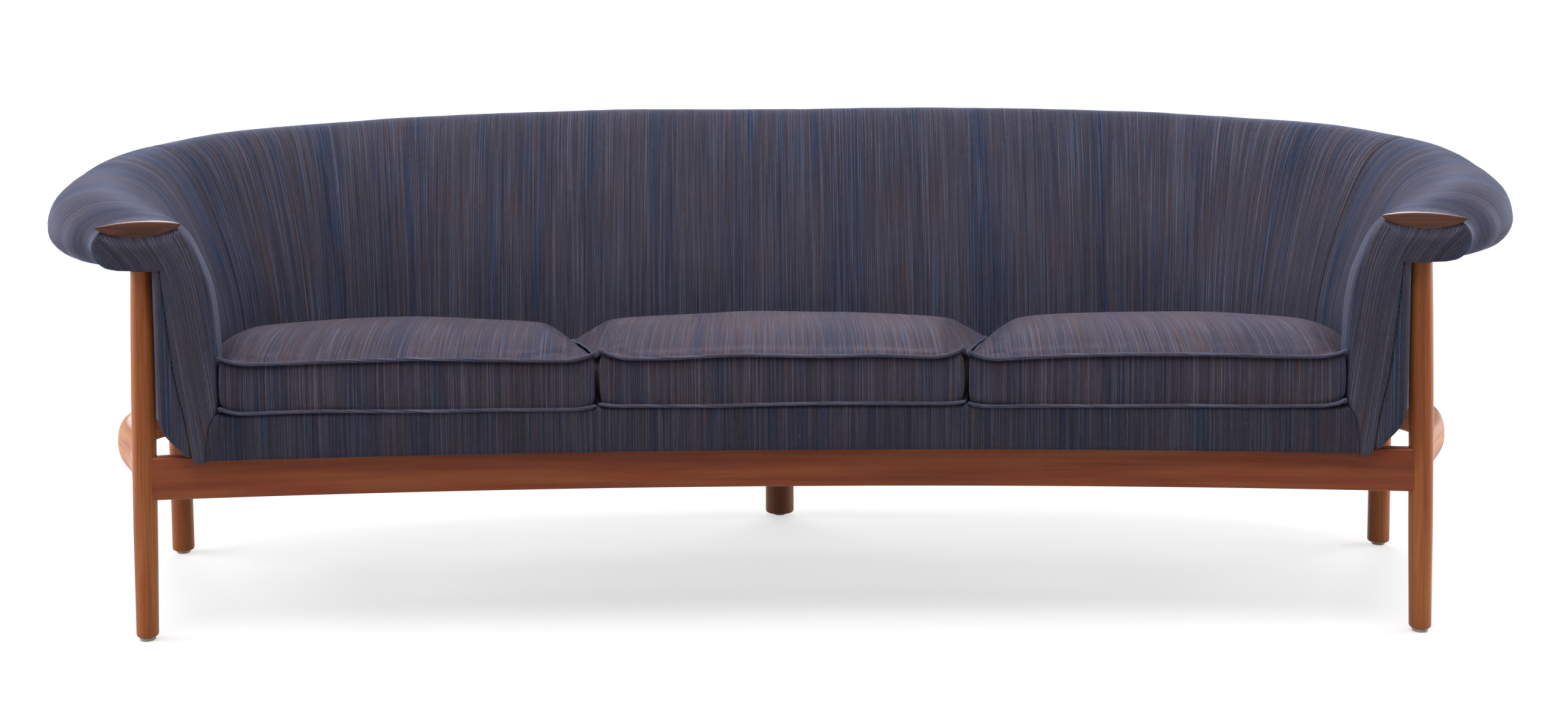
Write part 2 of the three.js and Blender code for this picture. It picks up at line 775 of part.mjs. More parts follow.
// A bolt through a rear leg into the ring, its head sunk in the leg's inner side.
function legBolt(legRadius, x, y, share, clearance) {
  const along = ringLine.getTangentAt(share);
  const out = new THREE.Vector3(along.y, -along.x, 0);
  const headAt = -legRadius + boltSink;
  const tip = legRadius - ringHousing + boltDepth;
  const at = (distance) => new THREE.Vector3(x, y, railMiddle - boltDrop).addScaledVector(out, distance);
  const mouth = clearance > 0 ? cutOverrun : 0;
  const head = cylinder(
    boltHeadRadius + clearance,
    boltHeadThick + clearance + mouth,
    pinSides,
    at(headAt + (boltHeadThick + clearance - mouth) / 2),
    out,
  );
  const length = tip + clearance - headAt;
  return joined(head, cylinder(boltRadius + clearance, length, pinSides, at(headAt + length / 2), out));
}

function rearLegBored(radius, x, y, share) {
  return cut(rearLeg(radius, x, y), legBolt(radius, x, y, share, touch));
}

// Bearers

function crossingY(curve, x, from, to) {
  const shares = sharesBetween(from, to, searchSteps);
  const far = shares.map((share) => Math.abs(curve.getPointAt(share).x - x));
  return curve.getPointAt(shares[far.indexOf(Math.min(...far))]).y;
}

function bearerBlock(x, width, low, high, frontY, backY) {
  return block(new THREE.Vector3(x - width / 2, frontY, low), new THREE.Vector3(x + width / 2, backY, high));
}

// The tenon that runs through a bearer from the front rail into the ring, or into the middle rear leg.
function bearerTenon(x, clearance) {
  const frontY = crossingY(frontLine, x, 0, 1) + railThick / 2 - tenonDepth - clearance;
  const ringFace = crossingY(ringLine, x, rearLegShare, 1 - rearLegShare) - ringThick / 2;
  const backY = (x === 0 ? centreLegY - centreLegRadius : ringFace) + tenonDepth + clearance;
  const width = bearerWidth - 2 * tenonShoulder + 2 * clearance;
  const low = railTop - bearerThick + tenonShoulder - clearance;
  return bearerBlock(x, width, low, railTop - tenonShoulder + clearance, frontY, backY);
}

function bearer(x) {
  const frontY = crossingY(frontLine, x, 0, 1);
  const backY = x === 0 ? centreLegY : crossingY(ringLine, x, rearLegShare, 1 - rearLegShare);
  const body = bearerBlock(x, bearerWidth, railTop - bearerThick, railTop, frontY, backY);
  const wide = 2 * touch;
  const railGrown = barOutline(railThick + wide, railBottom - wide, railTop + wide, railEase);
  const railTool = swept(frontLine, railGrown, 0, 1, railSteps);
  const ringGrown = barOutline(ringThick + wide, railBottom - wide, railTop + wide, railEase);
  const ringTool = swept(ringLine, ringGrown, ringBackStart, ringBackEnd, ringSteps);
  const legTool = rearLegTool(centreLegRadius, 0, centreLegY);
  const trimmed = cut(body, railTool, ringTool, mirrored(ringTool), legTool);
  return joined(trimmed, bearerTenon(x, 0));
}

// Frame

addPair("front_leg", frontLeg(), teak);
addPair("rear_leg", rearLegBored(rearLegRadius, rearLegHalf, rearLegY, rearLegShare), teak);
addPiece(
  "rear_leg_centre",
  cut(rearLegBored(centreLegRadius, 0, centreLegY, 0.5), bearerTenon(0, touch)),
  teak,
);
addPair("glide_front", glide(legXAt(0), 0), nylon);
addPair("glide_rear", glide(rearLegHalf, rearLegY), nylon);
addPiece("glide_centre", glide(0, centreLegY), nylon);

const legTool = frontLegTool(frontLegRadius + touch, railBottom - cutOverrun, railTop + cutOverrun);
const frontRail = cut(
  swept(frontLine, railOutline, 0, 1, railSteps),
  legTool,
  mirrored(legTool),
  railDowel(touch),
  mirrored(railDowel(touch)),
  ...bearerXs.map((x) => bearerTenon(x, touch)),
);
addPiece("front_rail", frontRail, teak);
addPair("ring_side", ringLength(0, ringJointShare - ringJointHalf, ringSteps), teak);
addPair("ring_back", ringLength(ringBackStart, ringBackEnd, ringSteps), teak);
addPiece(
  "ring_back_centre",
  ringLength(ringCentreShare + ringJointHalf, 1 - ringCentreShare - ringJointHalf, ringSteps / 2),
  teak,
);
addPair("rail_dowel", railDowel(0), beech);
addPair("ring_dowel", ringDowel(0), beech);
addPair("rear_leg_bolt", legBolt(rearLegRadius, rearLegHalf, rearLegY, rearLegShare, 0), steel);
addPiece("centre_leg_bolt", legBolt(centreLegRadius, 0, centreLegY, 0.5, 0), steel);
addPiece("bearer_left", bearer(-bearerSpread), beech);
addPiece("bearer_centre", bearer(0), beech);
addPiece("bearer_right", bearer(bearerSpread), beech);

// Woodwork inside the shell

function baseBarOutline(share, grow) {
  const { foot, heel } = outerWall(share);
  const bilgeLow = heel.y + coverThick;
  const rise = (baseTop - bilgeLow) / (foot.y + coverThick / 4 - bilgeLow);
  const outerTop = THREE.MathUtils.lerp(heel.x, foot.x - coverThick, rise) - postRoom;
  return [
    new THREE.Vector2(-baseBarIn - grow, shellFloor - grow),
    new THREE.Vector2(heel.x - postRoom, shellFloor - grow),
    new THREE.Vector2(heel.x - postRoom, bilgeLow),
    new THREE.Vector2(outerTop, baseTop + grow),
    new THREE.Vector2(-baseBarIn - grow, baseTop + grow),
  ];
}

// The front bar's section, measured out of the front line towards the front.
function frontBarOutline() {
  const face = railThick / 2 + apronProud - apronThick - touch;
  return [
    new THREE.Vector2(face - frontBarDepth, shellFloor),
    new THREE.Vector2(face, shellFloor),
    new THREE.Vector2(face, baseTop),
    new THREE.Vector2(face - frontBarDepth, baseTop),
  ];
}

// A bar along the front line between two values of X, its outline measured towards the front.
function alongFront(outline, halfLength, steps) {
  const rings = sharesBetween(-1, 1, steps).map((share) => {
    const x = share * halfLength;
    const slope = (-2 * railBow * x) / (railLegX * railLegX);
    const outward = new THREE.Vector2(slope, -1).normalize();
    const spot = new THREE.Vector2(x, railBow * (1 - (x * x) / (railLegX * railLegX)));
    return placed(outline, spot, outward);
  });
  return loft(rings, outline, outline);
}

const sideBarShares = runShares(sideBarStart / halfPath, seamLow);
const sideBar = alongShell((share) => baseBarOutline(share, 0), sideBarShares);
const sideBarTool = alongShell((share) => baseBarOutline(share, touch), [0, ...sideBarShares]);
const backBar = alongShell(
  (share) => baseBarOutline(share, 0),
  runShares(seamHigh, farEndShare - seamHigh),
);
addPair("base_side_bar", sideBar, beech);
addPiece("base_back_bar", backBar, beech);
addPiece(
  "base_front_bar",
  cut(alongFront(frontBarOutline(), seatHalfFront, railSteps), sideBarTool, mirrored(sideBarTool)),
  beech,
);

// A top rail fills the rim inside its padding. Its first outline point is the lower inner corner.
function topRailOutline(share) {
  const face = coverOutline(share);
  const round = insetLine(face, padDepths(face, railRoom)).slice(railFirst, railLast + 1);
  return [new THREE.Vector2(round[0].x, round[round.length - 1].y), ...round];
}

// A post fills the shell from its base bar up to its top rail.
function postOutline(share) {
  const face = coverOutline(share);
  const inner = insetLine(face, padDepths(face, postRoom));
  const bottom = baseTop + touch;
  const top = topRailOutline(share)[0].y - touch;
  inner[0].y = bottom;
  const above = inner.findIndex((p) => p.y > top);
  const last = inner[above - 1];
  const next = inner[above];
  const { root, foot } = outerWall(share);
  const outer = root.x - coverThick - postRoom;
  return [
    ...inner.slice(0, above),
    new THREE.Vector2(THREE.MathUtils.mapLinear(top, last.y, next.y, last.x, next.x), top),
    new THREE.Vector2(outer, top),
    new THREE.Vector2(outer, root.y),
    new THREE.Vector2(foot.x - coverThick - postRoom, bottom),
  ];
}

function post(share) {
  const half = postLength / 2 / halfPath;
  return alongShell(postOutline, sharesBetween(share - half, share + half, 2));
}

const tenonTop = armUnderside + armTenonLength + touch;
const tenonTool = frontLegTool(armTenonRadius + touch, armUnderside - cutOverrun, tenonTop);
const armRail = alongShell(topRailOutline, runShares(railStart / halfPath, seamLow));
addPair("arm_top_rail", cut(armRail, tenonTool, armCap(touch), capRoom()), beech);
addPiece("back_top_rail", alongShell(topRailOutline, runShares(seamHigh, farEndShare - seamHigh)), beech);
addPair("arm_post", post(armPostShare), beech);
addPair("back_post", post(backPostShare), beech);
addPiece("back_post_centre", post(1), beech);

// Seat platform

// Points of the seat line moved outwards, at shares of the full path.
function seatEdge(offsetAt, shares) {
  return shares.map((share) => {
    const half = share <= 1 ? share : farEndShare - share;
    const outward = outwardAt(half);
    if (share > 1) outward.x = -outward.x;
    const spot = seatLine.getPointAt(share / farEndShare);
    return new THREE.Vector2(spot.x + outward.x * offsetAt(half), spot.y + outward.y * offsetAt(half));
  });
}

function frontY(x, back) {
  const share = x / railLegX;
  return railBow * (1 - share * share) - railThick / 2 - apronProud + back;
}

// A plate whose edge follows the seat line at the sides and back, and the apron's back in front.
function plate(offsetAt, low, high) {
  const start = deckStart / halfPath;
  const edge = seatEdge(offsetAt, runShares(start, farEndShare - start));
  const corner = edge[0].x;
  const front = sharesBetween(-1, 1, railSteps).map((share) => {
    return new THREE.Vector2(share * corner, frontY(share * corner, apronThick + touch));
  });
  const shape = new THREE.Shape([...edge, ...front]);
  const solid = new THREE.ExtrudeGeometry(shape, { depth: high - low, bevelEnabled: false });
  return plain(solid).translate(0, 0, low);
}

const strapLow = baseTop + touch;
const strapTop = strapLow + strapThick;

function strap(x) {
  const edges = [x - strapWidth / 2, x + strapWidth / 2];
  const front = Math.max(...edges.map((edge) => frontY(edge, apronThick))) + strapLanding;
  const back = Math.min(...edges.map((edge) => crossingY(seatLine, edge, seamShare / 2, 1 - seamShare / 2)));
  return bearerBlock(x, strapWidth, strapLow, strapTop, front, back - strapLanding);
}

for (let i = 0; i < strapCount; i++) {
  addPiece("seat_strap_" + (i + 1), strap((i - (strapCount - 1) / 2) * strapPitch), webbing);
}
addPiece("seat_deck", plate(() => -deckInset, strapTop + touch, deckTop), cotton);
addPiece(
  "dust_cover",
  plate((share) => outerWall(share).heel.x - postRoom, railTop + touch, shellFloor - touch),
  cotton,
);

// Covers and padding of the shell

addPiece("back_panel", alongShell(padOutline, runShares(seamHigh, farEndShare - seamHigh)), twill);
const armPad = alongShell(padOutline, runShares(0, seamLow));
addPair("arm_panel", cut(armPad, tenonTool, armCap(touch), capRoom()), twill);
addPiece(
  "outer_back_panel",
  alongShell(outerOutline, runShares(seamHigh, farEndShare - seamHigh)),
  twill,
);
// Points on the arm's end face, moved forward from it and drawn in from the outline's edges.
function endRing(outline, forward) {
  const spot = placeAt(seatLine, 0);
  const outward = outwardAt(0);
  const moved = new THREE.Vector2(spot.x + outward.y * forward, spot.y - outward.x * forward);
  return placed(outline, moved, outward);
}

// The line inside a closed outline, a given depth from it all round.
function drawnIn(outline, depth) {
  const turn = Math.sign(THREE.ShapeUtils.area(outline));
  const count = outline.length;
  return outline.map((p, i) => {
    const before = outline[(i + count - 1) % count];
    const after = outline[(i + 1) % count];
    const along = after.clone().sub(before).normalize().multiplyScalar(turn * depth);
    return new THREE.Vector2(p.x - along.y, p.y + along.x);
  });
}

// A padded plate on the arm's end face, its front edges rounded.
function endPlate(outline) {
  const soft = drawnIn(outline, facingRound / 3);
  const inner = drawnIn(outline, facingRound);
  const rings = [
    endRing(outline, touch),
    endRing(outline, facingThick - facingRound),
    endRing(soft, facingThick - facingRound / 4),
    endRing(inner, facingThick),
  ];
  return loft(rings, outline, inner);
}

// The facing's outer seam, from under the rim down to its foot.
function facingSeam(out) {
  const low = shellFloor - lip;
  const high = armUnderside - touch;
  return facingSeamReaches.map((reach, i) => {
    return new THREE.Vector2(reach + out, THREE.MathUtils.lerp(low, high, facingSeamHeightShares[i]));
  });
}

const facingOutline = [
  new THREE.Vector2(0, shellFloor - lip),
  ...coverOutline(0).slice(1, -1),
  ...facingSeam(0),
];
addPair("facing", cut(endPlate(facingOutline), armCap(touch), capRoom()), twill);

// An outer side panel, with a return beside the facing.
function outerSide() {
  const shares = runShares(0, seamLow);
  const rings = [endRing(outerOutline(0), facingThick / 2)];
  for (const share of shares) {
    rings.push(placed(outerOutline(share), placeAt(seatLine, share), outwardAt(share)));
  }
  const side = loft(rings, outerOutline(0), outerOutline(shares[shares.length - 1]));
  const { root, foot, heel } = outerWall(0);
  const middle = outerOutline(0)[1];
  return joined(side, endPlate([heel, foot, middle, root, ...facingSeam(touch)]));
}

addPair("outer_side_panel", outerSide(), twill);

// The apron: soft front edges, and a lip that hangs in front of the rail.
function apronOutline() {
  const face = railThick / 2 + apronProud;
  const railFace = railThick / 2 + touch;
  const low = railTop - lip;
  return [
    new THREE.Vector2(railFace, low),
    new THREE.Vector2(face - apronRound, low),
    new THREE.Vector2(face, low + apronRound),
    new THREE.Vector2(face, deckTop - apronRound),
    new THREE.Vector2(face - apronRound, deckTop),
    new THREE.Vector2(face - apronThick, deckTop),
    new THREE.Vector2(face - apronThick, railTop + touch),
    new THREE.Vector2(railFace, railTop + touch),
  ];
}

addPiece("apron", alongFront(apronOutline(), seatHalfFront - touch, railSteps), twill);
addPair("arm_cap", armCap(0), darkTeak);

// Cushions

// The sides of a cushion joined into one closed run with rounded corners. Each side has its points and says
// whether the top seam rises at its start and at its end.
function roundedRuns(sides) {
  const edge = [];
  sides.forEach(({ points, rises }, k) => {
    const next = sides[(k + 1) % sides.length].points;
    const corner = points[points.length - 1];
    for (const at of points) {
      const toStart = at.distanceTo(points[0]);
      const toEnd = at.distanceTo(corner);
      const lift = rises[0] * riseNear(toStart, toEnd) + rises[1] * riseNear(toEnd, toStart);
      if (Math.min(toStart, toEnd) > cornerRound) edge.push({ at, lift });
    }
    const before = points[points.length - 2];
    const from = corner.clone().lerp(before, cornerRound / corner.distanceTo(before));
    const to = corner.clone().lerp(next[1], cornerRound / corner.distanceTo(next[1]));
    for (const t of sharesBetween(0, 1, cornerSamples)) {
      const a = from.clone().lerp(corner, t);
      edge.push({ at: a.lerp(corner.clone().lerp(to, t), t), lift: rises[1] });
    }
  });
  return edge;
}

// The rise of the top seam towards a corner: full at the corner and none from the side's middle on.
function riseNear(near, far) {
  return Math.pow(Math.max(1 - (2 * near) / (near + far), 0), 2);
}

// A boxed cushion: flat below, sides drawn in between its seams, corners raised and the top crowned.
function cushion(sides) {
  const edge = roundedRuns(sides);
  const centre = edge.reduce((sum, p) => sum.add(p.at), new THREE.Vector2()).divideScalar(edge.length);
  const seamTop = cushionBottom + boxingHeight;
  const crownTop = seamTop + cushionCrown;
  const count = edge.length;
  const ring = (inset, scale, heightAt) => {
    return edge.map(({ at, lift }, i) => {
      const before = edge[(i + count - 1) % count].at;
      const after = edge[(i + 1) % count].at;
      const along = after.clone().sub(before).normalize();
      const x = at.x - along.y * inset;
      const y = at.y + along.x * inset;
      const height = heightAt(lift);
      return new THREE.Vector3(centre.x + (x - centre.x) * scale, centre.y + (y - centre.y) * scale, height);
    });
  };
  const topHeight = (share) => (lift) => {
    const seam = seamTop + cornerRise * lift;
    return THREE.MathUtils.lerp(crownTop, seam, Math.pow(share, crownPower));
  };
  const rings = [
    ring(0, underFlatShare, () => cushionBottom),
    ring(0, 1, () => cushionBottom + cushionUnderCrown),
    ring(boxingDraw, 1, (lift) => cushionBottom + (boxingHeight + cornerRise * lift) / 2),
    ring(0, 1, topHeight(1)),
    ...crownShares.map((share) => ring(0, share, topHeight(share))),
  ];
  const points = [...rings.flat(), new THREE.Vector3(centre.x, centre.y, crownTop)];
  points.push(new THREE.Vector3(centre.x, centre.y, cushionBottom));
  const triangles = [];
  const crown = rings.length * count;
  for (let i = 0; i < count; i++) {
    const j = (i + 1) % count;
    for (let k = 0; k + 1 < rings.length; k++) {
      const a = k * count;
      const b = a + count;
      triangles.push(a + i, a + j, b + j, a + i, b + j, b + i);
    }
    triangles.push(crown - count + i, crown - count + j, crown, j, i, crown + 1);
  }
  return closedBody(points, triangles);
}

const cushionBack = () => -wallGap;
const seamBackShare = shareNearX(cushionSeamBack);

function shareNearX(x) {
  const shares = sharesBetween(seamShare, 1, searchSteps);
  const far = shares.map((share) => Math.abs(placeAt(seatLine, share).x - x));
  return shares[far.indexOf(Math.min(...far))];
}

function frontRun(from, to) {
  return sharesBetween(0, 1, sideSamples).map((t) => {
    const x = THREE.MathUtils.lerp(from, to, t);
    return new THREE.Vector2(x, frontY(x, -cushionProud));
  });
}

function straightRun(from, to) {
  return sharesBetween(0, 1, sideSamples).map((t) => from.clone().lerp(to, t));
}

function middleCushion() {
  const half = cushionSeamFront - cushionGap / 2;
  const front = frontRun(-half, half);
  const backShares = sharesBetween(seamBackShare, farEndShare - seamBackShare, 2 * sideSamples);
  const back = seatEdge(cushionBack, backShares);
  back[0].x -= cushionGap / 2;
  back[back.length - 1].x += cushionGap / 2;
  return cushion([
    { points: front, rises: [1, 1] },
    { points: straightRun(front[front.length - 1], back[0]), rises: [1, 0] },
    { points: back, rises: [0, 0] },
    { points: straightRun(back[back.length - 1], front[0]), rises: [0, 1] },
  ]);
}

function sideCushion() {
  const back = seatEdge(cushionBack, sharesBetween(0, seamBackShare, 3 * sideSamples));
  back[back.length - 1].x += cushionGap / 2;
  const front = frontRun(cushionSeamFront + cushionGap / 2, back[0].x);
  back[0] = front[front.length - 1].clone();
  return cushion([
    { points: front, rises: [1, 1] },
    { points: back, rises: [1, 0] },
    { points: straightRun(back[back.length - 1], front[0]), rises: [0, 1] },
  ]);
}

addPair("seat_cushion", sideCushion(), twill);
addPiece("seat_cushion_centre", middleCushion(), twill);

// The origin lies on the floor, under the middle of the whole sofa.
const extent = new THREE.Box3().setFromObject(sofa);
sofa.position.y = -(extent.min.y + extent.max.y) / 2;

export default sofa;
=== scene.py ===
import math

import bpy
import numpy as np
from mathutils import Matrix, Vector, noise
from mathutils.geometry import delaunay_2d_cdt


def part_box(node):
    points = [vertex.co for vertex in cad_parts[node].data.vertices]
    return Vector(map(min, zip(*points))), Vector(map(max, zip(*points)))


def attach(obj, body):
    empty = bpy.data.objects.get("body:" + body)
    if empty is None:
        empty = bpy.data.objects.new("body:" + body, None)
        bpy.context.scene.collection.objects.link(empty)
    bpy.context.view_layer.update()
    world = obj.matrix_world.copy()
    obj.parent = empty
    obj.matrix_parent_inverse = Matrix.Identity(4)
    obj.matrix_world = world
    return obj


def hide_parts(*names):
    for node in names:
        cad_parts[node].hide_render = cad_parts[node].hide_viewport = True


# A crescent-shaped three-seat sofa in striped wool twill on an oiled teak frame. Metres.
# Shapes are worked out in a plan whose zero lies on the front legs' axes; planOffset sets them back.

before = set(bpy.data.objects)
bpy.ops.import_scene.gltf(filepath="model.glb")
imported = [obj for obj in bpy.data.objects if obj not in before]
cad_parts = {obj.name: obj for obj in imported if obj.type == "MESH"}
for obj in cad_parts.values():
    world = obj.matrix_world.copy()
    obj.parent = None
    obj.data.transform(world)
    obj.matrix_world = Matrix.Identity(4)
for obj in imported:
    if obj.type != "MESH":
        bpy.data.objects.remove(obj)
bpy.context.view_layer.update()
lowGlide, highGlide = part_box("glide_front_right")
planOffset = (lowGlide[1] + highGlide[1]) / 2
print("frame loaded")


# Curves and outlines

def smoothCurve(points, perSpan=24):
    # A centripetal curve through points, as a dense line.
    pts = [np.array(p, float) for p in points]
    pts = [2 * pts[0] - pts[1]] + pts + [2 * pts[-1] - pts[-2]]
    line = []
    for i in range(1, len(pts) - 2):
        a, b, c, d = pts[i - 1:i + 3]
        before, here, after = (max(np.linalg.norm(q - p) ** 0.5, 1e-5) for p, q in ((a, b), (b, c), (c, d)))
        start = ((b - a) / before - (c - a) / (before + here) + (c - b) / here) * here
        end = ((c - b) / here - (d - b) / (here + after) + (d - c) / after) * here
        for t in np.linspace(0, 1, perSpan, endpoint=False):
            line.append((2 * t**3 - 3 * t**2 + 1) * b + (t**3 - 2 * t**2 + t) * start
                        + (3 * t**2 - 2 * t**3) * c + (t**3 - t**2) * end)
    line.append(pts[-2])
    return np.array(line)


def lengthsAlong(line):
    steps = np.linalg.norm(np.diff(line, axis=0), axis=1)
    return np.concatenate([[0], np.cumsum(steps)])


def pointsAt(line, distances):
    along = lengthsAlong(line)
    return np.stack([np.interp(distances, along, line[:, k]) for k in range(line.shape[1])], axis=1)


def evenly(line, count):
    return pointsAt(line, np.linspace(0, lengthsAlong(line)[-1], count))


def smoothStep(share):
    t = min(max(share, 0), 1)
    return t * t * (3 - 2 * t)


def unit(vectors):
    return vectors / np.maximum(np.linalg.norm(vectors, axis=-1, keepdims=True), 1e-12)


def lerp(a, b, t):
    return a + (b - a) * t


# Meshes

def finish(obj, body, material, nodes=(), sharpAngle=None):
    obj.data.materials.append(material)
    obj.data.polygons.foreach_set("use_smooth", [True] * len(obj.data.polygons))
    if sharpAngle:
        obj.data.set_sharp_from_angle(angle=math.radians(sharpAngle))
    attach(obj, body)
    if nodes:
        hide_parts(*nodes)


def outwards(faces, points):
    # Faces turned so that the closed body's volume is positive.
    fans = np.array([(f[0], f[k], f[k + 1]) for f in faces for k in range(1, len(f) - 1)])
    a, b, c = (points[fans[:, k]] for k in range(3))
    return faces if (a * np.cross(b, c)).sum() > 0 else [tuple(reversed(f)) for f in faces]


def newMesh(name, points, faces, weave=None, grain=None, mirrored=False):
    # weave is a pair per point. grain is three numbers per point.
    pts = np.array(points, float)
    faces = outwards(faces, pts)
    if mirrored:
        pts = pts * [-1, 1, 1]
    pts = pts + [0, planOffset, 0]
    mesh = bpy.data.meshes.new(name)
    mesh.from_pydata(pts.tolist(), [], faces)
    if mirrored:
        mesh.flip_normals()
    if weave is not None:
        layer = mesh.uv_layers.new(name="weave")
        corners = np.zeros(len(mesh.loops), int)
        mesh.loops.foreach_get("vertex_index", corners)
        layer.data.foreach_set("uv", np.array(weave, np.float32)[corners].ravel())
    if grain is not None:
        attribute = mesh.attributes.new("grain", "FLOAT_VECTOR", "POINT")
        attribute.data.foreach_set("vector", np.array(grain, np.float32).ravel())
    mesh.validate()
    obj = bpy.data.objects.new(name, mesh)
    bpy.context.collection.objects.link(obj)
    return obj


def gridFaces(rows, columns, offset=0, flip=False, closed=False):
    faces = []
    for i in range(rows - 1):
        for j in range(columns if closed else columns - 1):
            k = (j + 1) % columns
            f = (offset + i * columns + j, offset + i * columns + k,
                 offset + (i + 1) * columns + k, offset + (i + 1) * columns + j)
            faces.append(tuple(reversed(f)) if flip else f)
    return faces


def paddedSheet(name, face, back, weave, mirrored=False):
    # A closed body between two grids of points that have the same rows and columns.
    rows, columns = face.shape[:2]
    count = rows * columns
    faces = gridFaces(rows, columns) + gridFaces(rows, columns, count, flip=True)
    rim = [i * columns for i in range(rows)] + [(rows - 1) * columns + j for j in range(1, columns)]
    rim += [i * columns + columns - 1 for i in range(rows - 2, -1, -1)] + list(range(columns - 2, 0, -1))
    for a, b in zip(rim, rim[1:] + rim[:1]):
        faces.append((a, b, b + count, a + count))
    points = np.concatenate([face.reshape(-1, 3), back.reshape(-1, 3)])
    pairs = np.concatenate([weave.reshape(-1, 2)] * 2)
    return newMesh(name, points, faces, weave=pairs, mirrored=mirrored)


def loftBody(name, rings, weave=None, grain=None, mirrored=False):
    # A closed body through rings of points, with flat ends.
    rows, columns = rings.shape[:2]
    faces = gridFaces(rows, columns, closed=True)
    faces.append(tuple(reversed(range(columns))))
    faces.append(tuple((rows - 1) * columns + j for j in range(columns)))
    flatWeave = None if weave is None else weave.reshape(-1, 2)
    flatGrain = None if grain is None else grain.reshape(-1, 3)
    return newMesh(name, rings.reshape(-1, 3), faces, weave=flatWeave, grain=flatGrain, mirrored=mirrored)


def turned(name, profile, foot, top, sides, seed):
    # A turned piece: radius and distance along an axis that runs from foot towards top.
    axis = Vector(top) - Vector(foot)
    turn = axis.normalized().to_track_quat("Z", "Y").to_matrix()
    points, grain, faces = [], [], []
    for radius, height in profile[1:-1]:
        for k in range(sides):
            a = 2 * math.pi * k / sides
            flat = Vector((radius * math.cos(a), radius * math.sin(a), height))
            points.append(Vector(foot) + turn @ flat)
            grain.append((flat.x + seed, height + 3.1 * seed, flat.y + seed))
    rows = len(profile) - 2
    faces += gridFaces(rows, sides, closed=True)
    for end, row in ((profile[0], 0), (profile[-1], rows - 1)):
        points.append(Vector(foot) + turn @ Vector((0, 0, end[1])))
        grain.append((seed, end[1] + 3.1 * seed, seed))
        middle = len(points) - 1
        for k in range(sides):
            pair = (row * sides + k, row * sides + (k + 1) % sides)
            faces.append((middle, pair[1], pair[0]) if row == 0 else (middle, pair[0], pair[1]))
    return newMesh(name, points, faces, grain=grain)


def roundedProfile(points, roundings, steps=5):
    # A profile whose corners are rounded by the given radii.
    out = [points[0]]
    for i in range(1, len(points) - 1):
        a, b, c = (Vector(p) for p in points[i - 1:i + 2])
        r = roundings[i]
        if not r:
            out.append(tuple(b))
            continue
        start = b + (a - b).normalized() * min(r, (a - b).length * 0.45)
        end = b + (c - b).normalized() * min(r, (c - b).length * 0.45)
        for t in np.linspace(0, 1, steps):
            out.append(tuple(start.lerp(b, t).lerp(b.lerp(end, t), t)))
    out.append(points[-1])
    return out


def roundedBar(across, low, high, ease, nose=0.0, steps=4):
    # The outline of a bar with eased edges. A nose makes its right side half an ellipse of that depth.
    half = across / 2
    outline = []
    for cx, cz, start in ((half - ease, low + ease, -90), (half - ease, high - ease, 0),
                          (-half + ease, high - ease, 90), (-half + ease, low + ease, 180)):
        for k in range(steps + 1):
            a = math.radians(start + 90 * k / steps)
            outline.append((cx + ease * math.cos(a), cz + ease * math.sin(a)))
    if nose:
        turns = np.radians(np.linspace(-90, 90, 6 * steps + 1))
        front = [(half - nose + nose * math.cos(a), (low + high + (high - low) * math.sin(a)) / 2) for a in turns]
        outline = front + outline[2 * steps + 2:]
    return np.array(outline)


def sideways(line):
    # Unit vectors to the right of a line in plan, at each of its points.
    along = unit(np.gradient(line[:, :2], axis=0))
    return np.stack([along[:, 1], -along[:, 0]], axis=1)


# Materials

def linear(hexColour):
    channels = [int(hexColour[i:i + 2], 16) / 255 for i in (1, 3, 5)]
    return [c / 12.92 if c <= 0.04045 else ((c + 0.055) / 1.055) ** 2.4 for c in channels] + [1]


def addNode(tree, kind, settings, output=0):
    # Adds a node and gives one of its outputs. A socket among the settings is linked, and stops fill a ramp.
    node = tree.nodes.new("ShaderNode" + kind)
    for key, value in settings.items():
        if key == "stops":
            elements = node.color_ramp.elements
            elements.remove(elements[-1])
            for i, (share, hexColour) in enumerate(value):
                element = elements[0] if i == 0 else elements.new(share)
                element.position, element.color = share, linear(hexColour)
        elif isinstance(key, str) and key not in node.inputs:
            setattr(node, key, value)
        elif isinstance(value, bpy.types.NodeSocket):
            tree.links.new(value, node.inputs[key])
        else:
            node.inputs[key].default_value = value
    return node.outputs[output] if node.outputs else None


def newMaterial(name):
    material = bpy.data.materials.new(name)
    material.use_nodes = True
    material.node_tree.nodes.clear()
    return material, material.node_tree


def giveSurface(tree, settings):
    shader = addNode(tree, "BsdfPrincipled", settings)
    addNode(tree, "OutputMaterial", {"Surface": shader})


